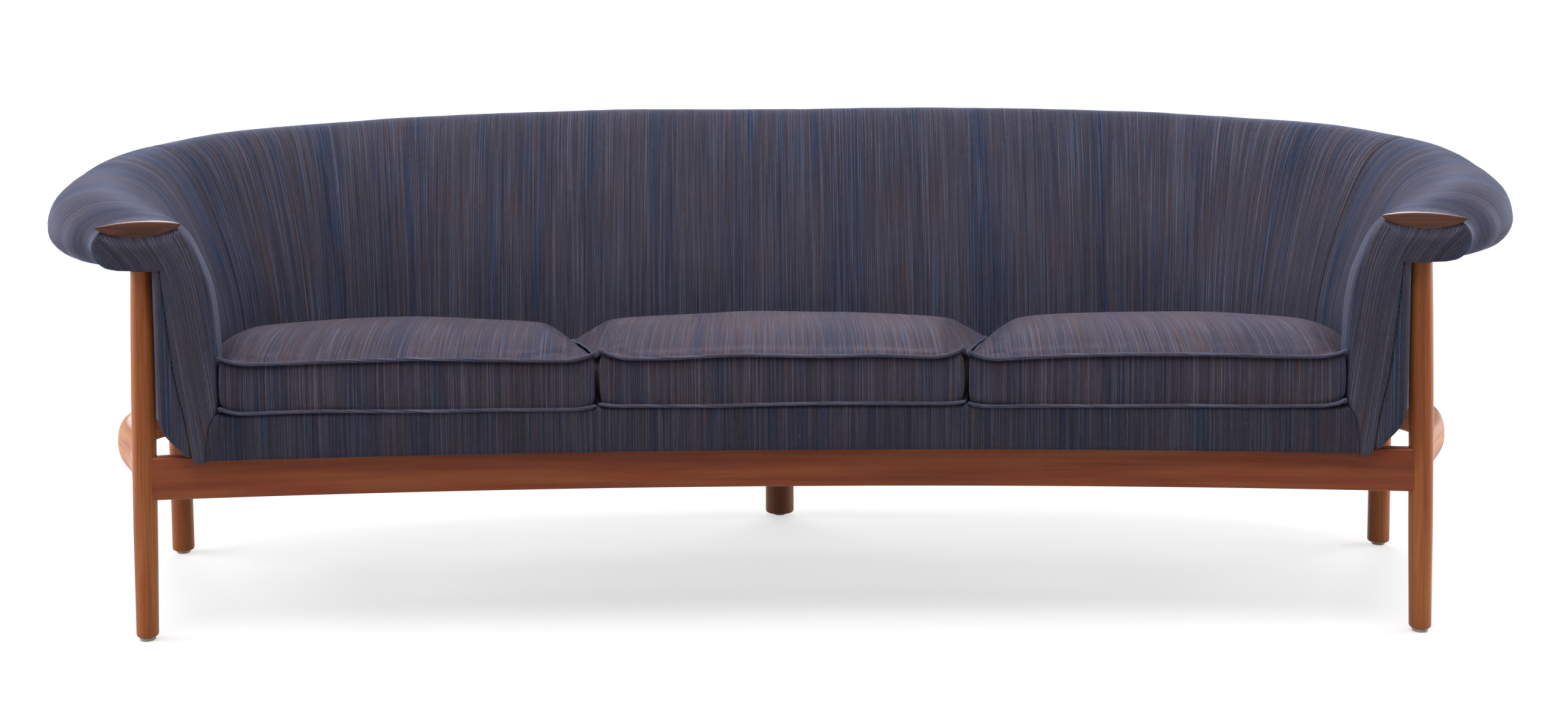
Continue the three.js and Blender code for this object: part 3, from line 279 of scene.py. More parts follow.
# Patterns are given as width, length, seed and detail, in metres. Ranges are given as from, to and strength.
twillLook = {
    "zones": (0.045, 3.0, 1.3, 2),         # broad bands of one tone
    "stripes": (0.0036, 0.4, 4.1, 3),      # stripes of a few threads
    "yarns": (0.001625, 0.3, 23.9, 1),
    "threads": (0.0013, 0.25, 7.7, 1),     # single warp threads, drawn coarser than the real 0.8 mm so that they show
    "rusts": (0.00182, 0.13, 15.2, 1),
    "slubs": (0.0024, 0.009, 31.7, 2),
    "wear": (0.16, 0.22, 9.4, 4),
    "toneShares": {"yarns": 0.4, "stripes": 0.22, "zones": 0.38},
    "ribPitch": 0.0028,                    # twill ribs, drawn coarser than the real 2 mm
    "ribWander": 5.0, "ribShade": (0.74, 1.16), "ribHeight": 0.4,
    "dotRange": (-0.5, 0.7), "dotLow": 0.3,
    "stops": [(0.33, "#273553"), (0.42, "#37435e"), (0.48, "#474759"), (0.54, "#53484f"), (0.6, "#465168"),
              (0.69, "#3c567a")],
    "lightThread": "#8589a3", "darkThread": "#1d222e", "rustThread": "#6e4539", "lint": "#b9bccb",
    "lightRange": (0.54, 0.7, 0.58), "darkRange": (0.46, 0.3, 0.45), "rustRange": (0.6, 0.72, 0.6),
    "lintScale": 24.0, "lintRange": (0.022, 0.012, 0.5),
    "wearRange": 0.1, "slubRange": 0.14,
    "roughness": 0.92, "specular": 0.15,
    "nap": 0.47, "napTint": "#b9c4ec", "napRoughness": 0.3,
    "depth": 1.0,                          # the cloth's overall level: the apron's 0.79 is painted shade, the piping's 1.45 a painted highlight
    "bump": 0.0006,
}


def twillMaterial(name, look):
    # Worsted wool twill, woven with mixed warp threads: soft, with a faint nap that lightens towards the edges.
    material, tree = newMaterial(name)
    uv = addNode(tree, "UVMap", {"uv_map": "weave"})
    drawn = {}
    for key in ("zones", "stripes", "yarns", "threads", "rusts", "slubs", "wear"):
        width, length, seed, detail = look[key]
        at = addNode(tree, "Mapping", {"Vector": uv, "Location": (0, 0, seed), "Scale": (1 / width, 1 / length, 1)})
        drawn[key] = addNode(tree, "TexNoise", {"Vector": at, "Scale": 1, "Detail": detail, "Roughness": 0.55})
    tone = 0
    for key, share in look["toneShares"].items():
        tone = addNode(tree, "Math", {"operation": "MULTIPLY_ADD", 0: drawn[key], 1: share, 2: tone})
    colour = addNode(tree, "ValToRGB", {0: tone, "stops": look["stops"]})
    # Ribs run down to the right at 45 degrees and break the threads into rows of dots.
    turns = 2 * math.pi / look["ribPitch"]
    slant = addNode(tree, "VectorMath", {"operation": "DOT_PRODUCT", 0: uv, 1: (turns, turns, 0)}, "Value")
    wander = addNode(tree, "Math", {"operation": "MULTIPLY_ADD", 0: drawn["threads"], 1: look["ribWander"], 2: slant})
    ribs = addNode(tree, "Math", {"operation": "SINE", 0: wander})
    dotFrom, dotTo = look["dotRange"]
    dots = addNode(tree, "MapRange", {0: ribs, 1: dotFrom, 2: dotTo, 3: look["dotLow"]})
    lint = addNode(tree, "TexVoronoi", {"Vector": uv, "Scale": look["lintScale"]})
    shade = addNode(tree, "MapRange", {0: ribs, 1: -1, 2: 1, 3: look["ribShade"][0], 4: look["ribShade"][1]})
    # depth sets the cloth's overall level, which carries painted shade in the apron's copy and a painted highlight in
    # the piping's.
    for source, middle, swing in ((drawn["wear"], look["depth"], look["wearRange"]),
                                  (drawn["slubs"], 1, look["slubRange"])):
        other = addNode(tree, "MapRange", {0: source, 1: 0.3, 2: 0.7, 3: middle - swing, 4: middle + swing})
        shade = addNode(tree, "Math", {"operation": "MULTIPLY", 0: shade, 1: other})
    for source, span, hexColour in ((drawn["threads"], "lightRange", "lightThread"),
                                    (drawn["threads"], "darkRange", "darkThread"),
                                    (drawn["rusts"], "rustRange", "rustThread"), (lint, "lintRange", "lint")):
        start, end, top = look[span]
        factor = addNode(tree, "MapRange", {0: source, 1: start, 2: end, 4: top})
        if hexColour in ("lightThread", "rustThread"):
            factor = addNode(tree, "Math", {"operation": "MULTIPLY", 0: factor, 1: dots})
        if hexColour == "lint":  # a few specks lie on top of the shaded cloth
            colour = addNode(tree, "Mix", {"data_type": "RGBA", "blend_type": "MULTIPLY", 0: 1, 6: colour, 7: shade}, 2)
        colour = addNode(tree, "Mix", {"data_type": "RGBA", 0: factor, 6: colour, 7: linear(look[hexColour])}, 2)
    height = addNode(tree, "Math", {"operation": "MULTIPLY_ADD", 0: ribs, 1: look["ribHeight"], 2: drawn["threads"]})
    giveSurface(tree, {
        "Base Color": colour, "Roughness": look["roughness"], "Specular IOR Level": look["specular"],
        "Sheen Weight": look["nap"], "Sheen Roughness": look["napRoughness"], "Sheen Tint": linear(look["napTint"]),
        "Normal": addNode(tree, "Bump", {"Strength": 0.5, "Distance": look["bump"], "Height": height})})
    return material


# Streaks are given as width, length, detail, distortion and roughness, then from, to and strength.
teakLook = {
    "early": "#b06435", "late": "#8c451f", "streak": "#c27c44", "pore": "#45200f", "mark": "#cf9562",
    "rings": (0.02, 0.55, 3, 0.9, 0.5),                    # the width of the figure comes first
    "fine": (0.0022, 0.16, 4, 0.2, 0.65, 0.5, 0.72, 0.6),
    "wide": (0.006, 0.3, 2, 0, 0.5, 0.56, 0.72, 0.45),
    "pores": (0.0011, 0.012, 1, 0, 0.5, 0.64, 0.76, 0.35), # drawn coarser than the real 0.3 mm
    "marks": (0.012, 0.02, 5, 0, 0.7, 0.7, 0.78, 0.4),
    "gloss": (0.03, 0.12, 4, 0, 0.5), "roughness": 0.42,
    "place": "grain", "along": 1,                          # the grain's own space, or the object's, and its long axis
}
broadRings, fineRings = (0.03, 0.55, 3, 0.9, 0.5), (0.009, 0.55, 3, 0.9, 0.5)


def woodMaterial(name, look):
    # Oiled wood: long grain along the piece, fine dark pores, and a soft satin gloss.
    look = {**teakLook, **look}
    material, tree = newMaterial(name)
    at = (addNode(tree, "Attribute", {"attribute_name": "grain"}, "Vector") if look["place"] == "grain"
          else addNode(tree, "TexCoord", {}, "Object"))
    drawn = {}
    for key in ("rings", "fine", "wide", "pores", "marks", "gloss"):
        width, length, detail, distortion, roughness = look[key][:5]
        size = [1 / width] * 3
        size[look["along"]] = 1 / length
        mapped = addNode(tree, "Mapping", {"Vector": at, "Scale": size})
        drawn[key] = addNode(tree, "TexNoise", {"Vector": mapped, "Scale": 1, "Detail": detail,
                                                "Distortion": distortion, "Roughness": roughness})
    colour = addNode(tree, "ValToRGB", {0: drawn["rings"], "stops": [
        (0.32, look["late"]), (0.5, look["early"]), (0.66, look["streak"])]})
    for key, hexColour in (("fine", "late"), ("wide", "streak"), ("pores", "pore"), ("marks", "mark")):
        start, end, top = look[key][5:]
        factor = addNode(tree, "MapRange", {0: drawn[key], 1: start, 2: end, 4: top})
        colour = addNode(tree, "Mix", {"data_type": "RGBA", 0: factor, 6: colour, 7: linear(look[hexColour])}, 2)
    rough = addNode(tree, "MapRange", {0: drawn["gloss"], 1: 0.3, 2: 0.7, 3: look["roughness"] - 0.08,
                                       4: look["roughness"] + 0.14})
    bump = addNode(tree, "Bump", {"Strength": 0.25, "Distance": 0.0004, "Height": drawn["fine"]})
    bump = addNode(tree, "Bump", {"Strength": 0.3, "Distance": 0.0003, "invert": True, "Height": drawn["pores"],
                                  "Normal": bump})
    giveSurface(tree, {"Base Color": colour, "Roughness": rough, "IOR": 1.5, "Specular IOR Level": 0.3,
                       "Normal": bump})
    return material


def clothMaterial(name, threadSize, warp, weft, roughness=0.95):
    # Plain weave, its threads crossing over and under in object space.
    material, tree = newMaterial(name)
    at = addNode(tree, "TexCoord", {}, "Object")
    over = 1
    for axis in ("X", "Y"):
        place = addNode(tree, "SeparateXYZ", {0: at}, axis)
        turns = addNode(tree, "Math", {"operation": "MULTIPLY", 0: place, 1: math.pi / threadSize})
        wave = addNode(tree, "Math", {"operation": "SINE", 0: turns})
        over = addNode(tree, "Math", {"operation": "MULTIPLY", 0: wave, 1: over})
    factor = addNode(tree, "MapRange", {0: over, 1: -0.6, 2: 0.6})
    weave = addNode(tree, "Mix", {"data_type": "RGBA", 0: factor, 6: linear(warp), 7: linear(weft)}, 2)
    slubs = addNode(tree, "TexNoise", {"Vector": at, "Scale": 90, "Detail": 4})
    shade = addNode(tree, "MapRange", {0: slubs, 1: 0.3, 2: 0.7, 3: 0.7, 4: 1.2})
    colour = addNode(tree, "Mix", {"data_type": "RGBA", "blend_type": "MULTIPLY", 0: 1, 6: weave, 7: shade}, 2)
    bump = addNode(tree, "Bump", {"Strength": 0.5, "Distance": 0.0005, "Height": over})
    giveSurface(tree, {"Base Color": colour, "Roughness": roughness, "Normal": bump})
    return material


def plainMaterial(name, hexColour, spotHex, spotSize, roughness, metallic, bumpDistance):
    # Moulded or drawn surfaces with a little dirt and unevenness.
    material, tree = newMaterial(name)
    at = addNode(tree, "TexCoord", {}, "Object")
    spots = addNode(tree, "TexNoise", {"Vector": at, "Scale": 1 / spotSize, "Detail": 5, "Roughness": 0.65})
    factor = addNode(tree, "MapRange", {0: spots, 1: 0.48, 2: 0.7})
    colour = addNode(tree, "Mix", {"data_type": "RGBA", 0: factor, 6: linear(hexColour), 7: linear(spotHex)}, 2)
    rough = addNode(tree, "MapRange", {0: spots, 1: 0.3, 2: 0.7, 3: roughness - 0.06, 4: roughness + 0.12})
    bump = addNode(tree, "Bump", {"Strength": 0.3, "Distance": bumpDistance, "Height": spots})
    giveSurface(tree, {"Base Color": colour, "Roughness": rough, "Metallic": metallic, "Normal": bump})
    return material


twill = twillMaterial("wool twill, striped", twillLook)
# The cushions have faded a little warmer than the rest. The apron's copy is darker all over: painted shade for the
# shadow under the cushions.
cushionTwill = twillMaterial("wool twill, striped, faded", {
    **twillLook, "lightThread": "#8d8b9f", "rustThread": "#7a4a3e", "napTint": "#d8c8d6", "nap": 0.42,
    "stops": [(0.33, "#2a3652"), (0.42, "#3b435c"), (0.48, "#4a4759"), (0.54, "#58494f"), (0.6, "#4b5165"),
              (0.69, "#405677")]})
paintedShadeApronTwill = twillMaterial("wool twill, striped, painted shade", {**twillLook, "depth": 0.79, "nap": 0.3})
# Hands have worn the nap off the facings, so their edges stay dark.
facingTwill = twillMaterial("wool twill, striped, smooth", {**twillLook, "depth": 1.04, "nap": 0.2})
# The piping's copy is painted lighter than the boxing: a painted highlight for the light the piping catches.
paintedHighlightPipingTwill = twillMaterial("wool twill, striped, painted highlight", {**twillLook, "depth": 1.45, "nap": 0.55})
teak = woodMaterial("teak, oiled", {})
railTeak = woodMaterial("teak, oiled, darkened", {"early": "#984a28", "late": "#7e3a1e", "streak": "#a35a30",
                                                 "rings": broadRings})
# A darker copy of the teak for the centre rear leg: painted shade for the shadow under the sofa.
shadedTeak = woodMaterial("teak, oiled, painted shade", {"early": "#713a22", "late": "#542a19", "streak": "#83482b",
                                                   "mark": "#8f5a38", "rings": broadRings})
capTeak = woodMaterial("teak, worn satin", {"early": "#5c3524", "late": "#412215", "streak": "#744630",
                                           "roughness": 0.36, "rings": fineRings})
beech = woodMaterial("beech, planed", {"early": "#c9a074", "late": "#b08456", "streak": "#d8b48a", "pore": "#8a6238",
                                      "mark": "#e6c9a2", "roughness": 0.6, "rings": broadRings,
                                      "pores": (0.0011, 0.012, 1, 0, 0.5, 0.64, 0.76, 0.3),
                                      "place": "object", "along": 0})
cotton = clothMaterial("cotton cambric, black", 0.0012, "#25252a", "#34343b")
jute = clothMaterial("jute webbing", 0.004, "#8a7a5c", "#a59372")
thread = clothMaterial("linen thread, waxed", 0.0004, "#141826", "#23283a", 0.6)
nylon = plainMaterial("nylon, moulded", "#d8d2c4", "#a89f8c", 0.004, 0.5, 0, 0.0002)
steel = plainMaterial("steel, zinc plated", "#b9bcc0", "#8d9196", 0.006, 0.32, 1, 0.0001)
print("materials made")


# Frame

legs = {
    "frontHalf": 0.983, "frontHalfTop": 0.975, "armUnderside": 0.573, "frontRadius": 0.018,
    "radiusTop": 0.0152, "radiusLow": 0.0166, "swellLow": 0.2, "swellHigh": 0.35,
    "rearHalf": 1.105, "rearY": 0.53, "rearRadius": 0.0195, "centreY": 0.798, "centreRadius": 0.028,
    "glideRadius": 0.012, "glideThick": 0.005, "footRound": 0.006, "footFlat": 0.55,
    "room": 0.0006,  # between a front leg's top and the arm
    "topRound": 0.003, "glideRound": 0.002, "sides": 64, "glideSides": 40,
}
rails = {
    "low": 0.2195, "high": 0.2865, "thick": 0.026, "ease": 0.005, "bow": 0.07,
    "ringThick": 0.028, "ringHalf": 1.144, "ringWideY": 0.4, "ringStartOut": 0.004, "ringBackY": 0.8325,
    "ringStartShares": [(0.34, 0.34), (0.8, 0.71)],
    "ringLineShares": [(0.83, 0.671), (0.69, 0.785), (0.46, 0.905), (0.23, 0.975)],
    "rearLegSide": -10, "housing": 0.008, "joint": 0.075, "centreHalf": 0.26, "glueLine": 0.0004,
    "room": 0.0003,     # between pieces that meet
    "ringNose": 0.018,  # depth of the rounding of the ring's outer face
}


def legX(height):
    return lerp(legs["frontHalf"], legs["frontHalfTop"], height / legs["armUnderside"])


def frontLegRadius(height):
    low, high = legs["swellLow"], legs["swellHigh"]
    if height < low:
        return lerp(legs["radiusLow"], legs["frontRadius"], smoothStep(height / low))
    share = max(0, (height - high) / (legs["armUnderside"] - high))
    return lerp(legs["frontRadius"], legs["radiusTop"], share ** 1.5)


def makeLegs():
    lift = legs["glideThick"]
    for side, sign in (("left", -1), ("right", 1)):
        length = legs["armUnderside"] - lift
        top = length - legs["room"]
        profile = [(0, 0), (legs["radiusLow"] * legs["footFlat"], 0)]
        profile += [(legs["radiusLow"] - legs["footRound"] * (1 - math.sin(a)), legs["footRound"] * (1 - math.cos(a)))
                    for a in np.linspace(0.2, math.pi / 2, 6)]
        profile += [(frontLegRadius(h + lift), h) for h in np.linspace(0.02, top, 48)]
        profile += [(legs["radiusTop"] / 2, top), (0, top)]
        leg = turned("frontLeg." + side, profile, (sign * legX(lift), 0, lift),
                     (sign * legs["frontHalfTop"], 0, legs["armUnderside"]), legs["sides"], 0.37 + 0.21 * sign)
        finish(leg, "sofa", teak, ["front_leg_" + side], 40)
    top = rails["high"] - lift
    for name, x, y, radius, seed in (("left", -legs["rearHalf"], legs["rearY"], legs["rearRadius"], 0.9),
                                     ("right", legs["rearHalf"], legs["rearY"], legs["rearRadius"], 1.3),
                                     ("centre", 0, legs["centreY"], legs["centreRadius"], 1.7)):
        corners = [(0, 0), (radius, 0), (radius, top), (0, top)]
        profile = roundedProfile(corners, [0, legs["footRound"], legs["topRound"], 0])
        middle = [(radius, h) for h in np.linspace(0.02, top - 0.02, 12)]
        half = len(profile) // 2
        profile = profile[:half] + middle + profile[half:]
        leg = turned("rearLeg." + name, profile, (x, y, lift), (x, y, 1), legs["sides"], seed)
        # The centre rear leg gets the darker teak, painted shade.
        finish(leg, "sofa", shadedTeak if name == "centre" else teak, ["rear_leg_" + name], 40)
    thick, radius = lift - rails["room"], legs["glideRadius"]
    profile = roundedProfile([(0, 0), (radius, 0), (radius, thick), (0, thick)],
                             [0, legs["glideRound"], legs["glideRound"] / 5, 0])
    spots = {"front_left": (-legX(0), 0), "front_right": (legX(0), 0), "rear_left": (-legs["rearHalf"], legs["rearY"]),
             "rear_right": (legs["rearHalf"], legs["rearY"]), "centre": (0, legs["centreY"])}
    for name, (x, y) in spots.items():
        disc = turned("glide." + name, profile, (x, y, 0), (x, y, 1), legs["glideSides"], 0)
        finish(disc, "sofa", nylon, ["glide_" + name], 40)


def scribed(start, direction, centre, radius):
    # The point where a line that starts inside a round leg comes out of it.
    off = start - centre
    half = np.dot(off, direction)
    inside = half * half - (np.dot(off, off) - radius * radius)
    return start + direction * (-half + math.sqrt(max(inside, 0)))


def barAlong(name, line, thick, nodes, material, startLeg=None, endLeg=None, seed=0.0, mirrored=False, nose=0.0):
    # A bar swept round a line in plan. An end that meets a front leg is scribed to it.
    outline = roundedBar(thick, rails["low"], rails["high"], rails["ease"], nose)
    right = sideways(line)
    along = lengthsAlong(line)
    rings = np.zeros((len(line), len(outline), 3))
    grain = np.zeros_like(rings)
    for i in range(len(line)):
        for j, (across, height) in enumerate(outline):
            spot = line[i] + right[i] * across
            for end, leg, sign in ((0, startLeg, 1), (len(line) - 1, endLeg, -1)):
                if i == end and leg:
                    step = sign * unit(line[1] - line[0] if end == 0 else line[-1] - line[-2])
                    centre = np.array([leg * legX(height), 0])
                    spot = scribed(spot, step, centre, legs["frontRadius"] + rails["room"])
            rings[i, j] = (spot[0], spot[1], height)
            grain[i, j] = (across + seed, along[i] + 5 * seed, height + seed)
    bar = loftBody(name, rings, grain=grain, mirrored=mirrored)
    finish(bar, "sofa", material, nodes, 45)


def makeRails():
    middle = (rails["low"] + rails["high"]) / 2
    legLine = legX(middle)
    xs = np.linspace(-legLine, legLine, 97)
    line = np.stack([xs, rails["bow"] * (1 - (xs / legLine) ** 2)], axis=1)
    barAlong("frontRail", line, rails["thick"], ["front_rail"], railTeak, startLeg=-1, endLeg=1, seed=0.2)
    start = np.array([legLine + rails["ringStartOut"], 0])
    angle = math.radians(rails["rearLegSide"])
    off = legs["rearRadius"] - rails["housing"] + rails["ringThick"] / 2
    points = [start]
    points += [(lerp(start[0], rails["ringHalf"], x), y * rails["ringWideY"]) for x, y in rails["ringStartShares"]]
    points += [(rails["ringHalf"], rails["ringWideY"]),
               (legs["rearHalf"] + off * math.cos(angle), legs["rearY"] + off * math.sin(angle))]
    depth = rails["ringBackY"] - rails["ringWideY"]
    points += [(x * rails["ringHalf"], rails["ringWideY"] + y * depth) for x, y in rails["ringLineShares"]]
    far = [(-x, y) for x, y in reversed([tuple(p) for p in points])]
    ring = smoothCurve(points + [(0, rails["ringBackY"])] + far, 40)
    total = lengthsAlong(ring)[-1]
    legAt = lengthsAlong(ring)[np.argmin(np.linalg.norm(ring - [legs["rearHalf"], legs["rearY"]], axis=1))]
    joint, glue = legAt + rails["joint"], rails["glueLine"] / 2
    centreStart = total / 2 - rails["centreHalf"]
    for side in ("right", "left"):
        flip = side == "left"
        seed = 0.5 if flip else 0.8
        barAlong("ringSide." + side, pointsAt(ring, np.linspace(0, joint - glue, 64)), rails["ringThick"],
                 ["ring_side_" + side], teak, startLeg=1, seed=seed, mirrored=flip, nose=rails["ringNose"])
        barAlong("ringBack." + side, pointsAt(ring, np.linspace(joint + glue, centreStart - glue, 48)),
                 rails["ringThick"], ["ring_back_" + side], teak, seed=seed + 1, mirrored=flip,
                 nose=rails["ringNose"])
    barAlong("ringBack.centre", pointsAt(ring, np.linspace(centreStart + glue, total - centreStart - glue, 32)),
             rails["ringThick"], ["ring_back_centre"], teak, seed=2.6, nose=rails["ringNose"])


makeLegs()
makeRails()
print("legs and rails made")


# The shell's plan and section

shell = {
    "floor": 0.2883, "base": 0.33, "lip": 0.0065, "touch": 0.0003,
    "seatHalfWide": 0.955, "seatHalfFront": 0.8628, "seatBackY": 0.612,
    "armTurn": 9, "turnShare": 0.16, "seamShare": 0.3,
    "stationShares": [0, 0.045, 0.2, 0.36, 0.65, 1],
    "crestHeight": [0.648, 0.655, 0.704, 0.775, 0.807, 0.810],
    "crestReach": [0.110, 0.126, 0.182, 0.203, 0.212, 0.214],
    "rimReach": [0.178, 0.196, 0.256, 0.272, 0.266, 0.262],
    "rimThick": [0.075, 0.082, 0.112, 0.118, 0.112, 0.108],
    "crestDrop": [0.036, 0.043, 0.066, 0.058, 0.046, 0.040],
    "rootReach": [0.091, 0.091, 0.130, 0.166, 0.208, 0.216],
    "wallFoot": [0.089, 0.089, 0.108, 0.126, 0.140, 0.142],
    "wallBulge": [0.001, 0.001, 0.004, 0.006, 0.006, 0.006],
    "lean": [0, 0.05, 0.45, 0.8, 1, 1],
    "bilgeHeight": 0.041, "bilgeWidth": 0.038, "bilgeRound": 0.021,
    "armWall": [(0, 0), (0, 0.2), (0.01, 0.43), (0.035, 0.573), (0.09, 0.696), (0.2, 0.811), (0.35, 0.92),
                (0.52, 0.975), (0.76, 0.996), (1, 1)],
    "backWall": [(0, 0), (0.025, 0.12), (0.075, 0.24), (0.17, 0.39), (0.3, 0.547), (0.45, 0.703), (0.61, 0.84),
                 (0.73, 0.918), (0.86, 0.975), (1, 1)],
    "seatLine": [(0.915, 0.1), (0.955, 0.23), (0.988, 0.37), (1, 0.52), (0.978, 0.68), (0.885, 0.83),
                 (0.72, 0.925), (0.5, 0.968), (0.25, 0.993)],
    "rimAngles": [60, 30, 0, -30, -60, -90], "rimUnderShare": 0.95,
    "wallPad": 0.034, "rimPad": 0.018, "padShares": [1, 1, 1, 1, 0.95, 0.6, 0.25],
    "coverThick": 0.006, "seamRound": 0.0045,
    "tuck": 0.003,     # how far the outer cover is pressed up into the rim
    "outerRound": 0.003, "outerRows": 40, "outerColumns": 120,
    "rowsRound": 84,   # points round the section
    "columnsArm": 56,  # stations along an arm
    "columnsBack": 190,
    # Swellings and puckers of the padding: how deep they are, and how long.
    "swell": (0.0016, 0.13), "ripple": (0.0006, 0.035), "pucker": (0.0004, 0.021), "puckerReach": 0.03,
}

rightLine = [(shell["seatHalfFront"], 0)]
rightLine += [(x * shell["seatHalfWide"], y * shell["seatBackY"]) for x, y in shell["seatLine"]]
seatLine = smoothCurve(rightLine + [(0, shell["seatBackY"])] + [(-x, y) for x, y in reversed(rightLine)], 60)
seatRun = lengthsAlong(seatLine)
halfPath = seatRun[-1] / 2


def seatSpot(share):
    # The seat line's point and the direction out of the seat there. Share 1 is the middle of the back.
    half = min(share, 2 - share)
    at = half * halfPath
    spot, ahead, behind = (np.array([np.interp(d, seatRun, seatLine[:, k]) for k in (0, 1)])
                           for d in (at, at + 0.002, max(at - 0.002, 0)))
    along = unit(ahead - behind)
    square = np.array([along[1], -along[0]])
    turn = math.radians(shell["armTurn"])
    end = np.array([math.cos(turn), -math.sin(turn)])
    outward = unit(lerp(end, square, smoothStep(half / shell["turnShare"])))
    if share > 1:
        spot, outward = spot * [-1, 1], outward * [-1, 1]
    return spot, outward


def sizeAlong(name, share):
    stations, values = shell["stationShares"], shell[name]
    half = min(share, 2 - share)
    last = len(stations) - 1
    k = max(i for i in range(last) if i == 0 or half > stations[i])

    def slope(i):
        if i == 0:
            return (values[1] - values[0]) / (stations[1] - stations[0])
        if i == last:
            return 0
        return (values[i + 1] - values[i - 1]) / (stations[i + 1] - stations[i - 1])

    width = stations[k + 1] - stations[k]
    t = (half - stations[k]) / width
    start = (2 * t**3 - 3 * t**2 + 1) * values[k] + (t**3 - 2 * t**2 + t) * width * slope(k)
    return start + (3 * t**2 - 2 * t**3) * values[k + 1] + (t**3 - t**2) * width * slope(k + 1)


def coverPoints(share):
    # Corners of the inner cover's section: from the foot of the inner wall over the rim to its root.
    crest, reach, rim = (sizeAlong(n, share) for n in ("crestHeight", "crestReach", "rimReach"))
    edge = crest - sizeAlong("crestDrop", share)
    rootHeight, rootReach = crest - sizeAlong("rimThick", share), sizeAlong("rootReach", share)
    lean = min(max(sizeAlong("lean", share), 0), 1)
    foot = shell["base"] + shell["touch"]
    points = []
    for (out, rise), (backOut, backRise) in zip(shell["armWall"], shell["backWall"]):
        points.append((lerp(out, backOut, lean) * reach, foot + lerp(rise, backRise, lean) * (crest - foot)))
    under = (edge - rootHeight) * shell["rimUnderShare"]
    for angle in shell["rimAngles"]:
        a = math.radians(angle)
        width = rim - reach if angle >= 0 else min(under, rim - rootReach)
        drop = crest - edge if angle >= 0 else under
        points.append((rim - width + width * math.cos(a), edge + drop * math.sin(a)))
    points.append((rootReach, rootHeight))
    return np.array(points)


def padBack(face):
    # The padding's inner side, a given depth behind the cover's corners.
    count = len(face)
    shares = shell["padShares"] + [0] * (count - len(shell["padShares"]))
    along = unit(np.array([face[min(i + 1, count - 1)] - face[max(i - 1, 0)] for i in range(count)]))
    depth = np.array([lerp(shell["rimPad"], shell["wallPad"], s) for s in shares])[:, None]
    back = face + np.stack([along[:, 1], -along[:, 0]], axis=1) * depth
    back[0, 1] = face[0, 1]
    back[-1] = (face[-1, 0], face[-1, 1] + shell["rimPad"])
    return back


def outerPoints(share):
    # The outer wall's section, from the rim's root down to the heel.
    crest = sizeAlong("crestHeight", share)
    root = np.array([sizeAlong("rootReach", share), crest - sizeAlong("rimThick", share) + shell["tuck"]])
    foot = np.array([sizeAlong("wallFoot", share), shell["floor"] + shell["bilgeHeight"]])
    heel = np.array([foot[0] - shell["bilgeWidth"], shell["floor"]])
    middle = (root + foot) / 2 + [sizeAlong("wallBulge", share), 0]
    wall = smoothCurve([root, middle, foot], 16)
    turn = shell["bilgeRound"]
    before, after = foot - unit(foot - wall[-2]) * turn, foot + unit(heel - foot) * turn
    bend = [(1 - t) ** 2 * before + 2 * t * (1 - t) * foot + t * t * after for t in np.linspace(0, 1, 9)]
    return np.concatenate([[p for p in wall if p[1] > foot[1] + turn], bend, [heel]])


def placed(section, spot, outward):
    # Section points (reach, height) on the vertical plane through a spot in plan.
    return np.stack([spot[0] + outward[0] * section[:, 0], spot[1] + outward[1] * section[:, 0], section[:, 1]],
                    axis=1)


def seamStations(low, high, count):
    # Shares from one seam to the other, close together where the cover rolls into a seam.
    roll = np.array([0, 0.0006, 0.0016, 0.003, 0.0046, 0.0062, 0.009]) / halfPath
    inner = np.linspace(low + 0.014 / halfPath, high - 0.014 / halfPath, count)
    return np.concatenate([low + roll, inner, (high - roll)[::-1]])


def rollDepth(distance, radius):
    inside = np.clip(radius - distance, 0, radius)
    return radius - np.sqrt(np.maximum(radius**2 - inside**2, 0))


def unevenness(points, amount, size, seed):
    # Small soft swellings of hand-made padding.
    return np.array([noise.noise(Vector((p[0] / size + seed, p[1] / size, p[2] / size))) * amount
                     for p in points.reshape(-1, 3)]).reshape(points.shape[:-1])


def shellPanel(name, low, high, count, nodes, sectionAt, radius, seed, mirrored=False):
    # One upholstered panel between two shares of the path, its edges rolled into the seams.
    shares = seamStations(low, high, count)
    face, back, weave = [], [], []
    runs = np.minimum(shares - low, high - shares) * halfPath
    for share, run in zip(shares, runs):
        spot, outward = seatSpot(share)
        outline, inner = sectionAt(share)
        inward = unit(inner - outline)
        depth = rollDepth(run, radius)
        around = lengthsAlong(outline)
        edges = rollDepth(np.minimum(around, around[-1] - around), radius * 0.7)
        shift = np.maximum(depth, edges)
        face.append(placed(outline + inward * shift[:, None], spot, outward))
        back.append(placed(inner, spot, outward))
        weave.append(np.stack([np.full(len(outline), share * halfPath * 1.06), around], axis=1))
    face, back, weave = np.array(face), np.array(back), np.array(weave)
    inward = unit(back - face)
    deep, pitch = shell["pucker"]
    turns = weave[:, :, 1] / pitch * 2 * math.pi + 2.3 * unevenness(face, 1, 0.05, seed)
    pucker = np.exp(-(runs / shell["puckerReach"]) ** 2)[:, None] * np.sin(turns)
    soft = unevenness(face, *shell["swell"], seed) + unevenness(face, *shell["ripple"], seed + 9) + deep * pucker
    face = face + inward * (soft * np.clip(runs / 0.01, 0, 1)[:, None])[:, :, None]
    panel = paddedSheet(name, face, back, weave, mirrored)
    finish(panel, "sofa", twill, nodes, 50)


def coverSection(share):
    corners = coverPoints(share)
    return tuple(evenly(smoothCurve(line, 20), shell["rowsRound"]) for line in (corners, padBack(corners)))


def outerSection(share):
    face = outerPoints(share)
    inner = face - np.stack([np.full(len(face), shell["coverThick"]), np.zeros(len(face))], axis=1)
    inner[-1] = face[-1] + [-0.002, shell["coverThick"]]
    return tuple(evenly(smoothCurve(line, 6), shell["outerRows"]) for line in (face, inner))


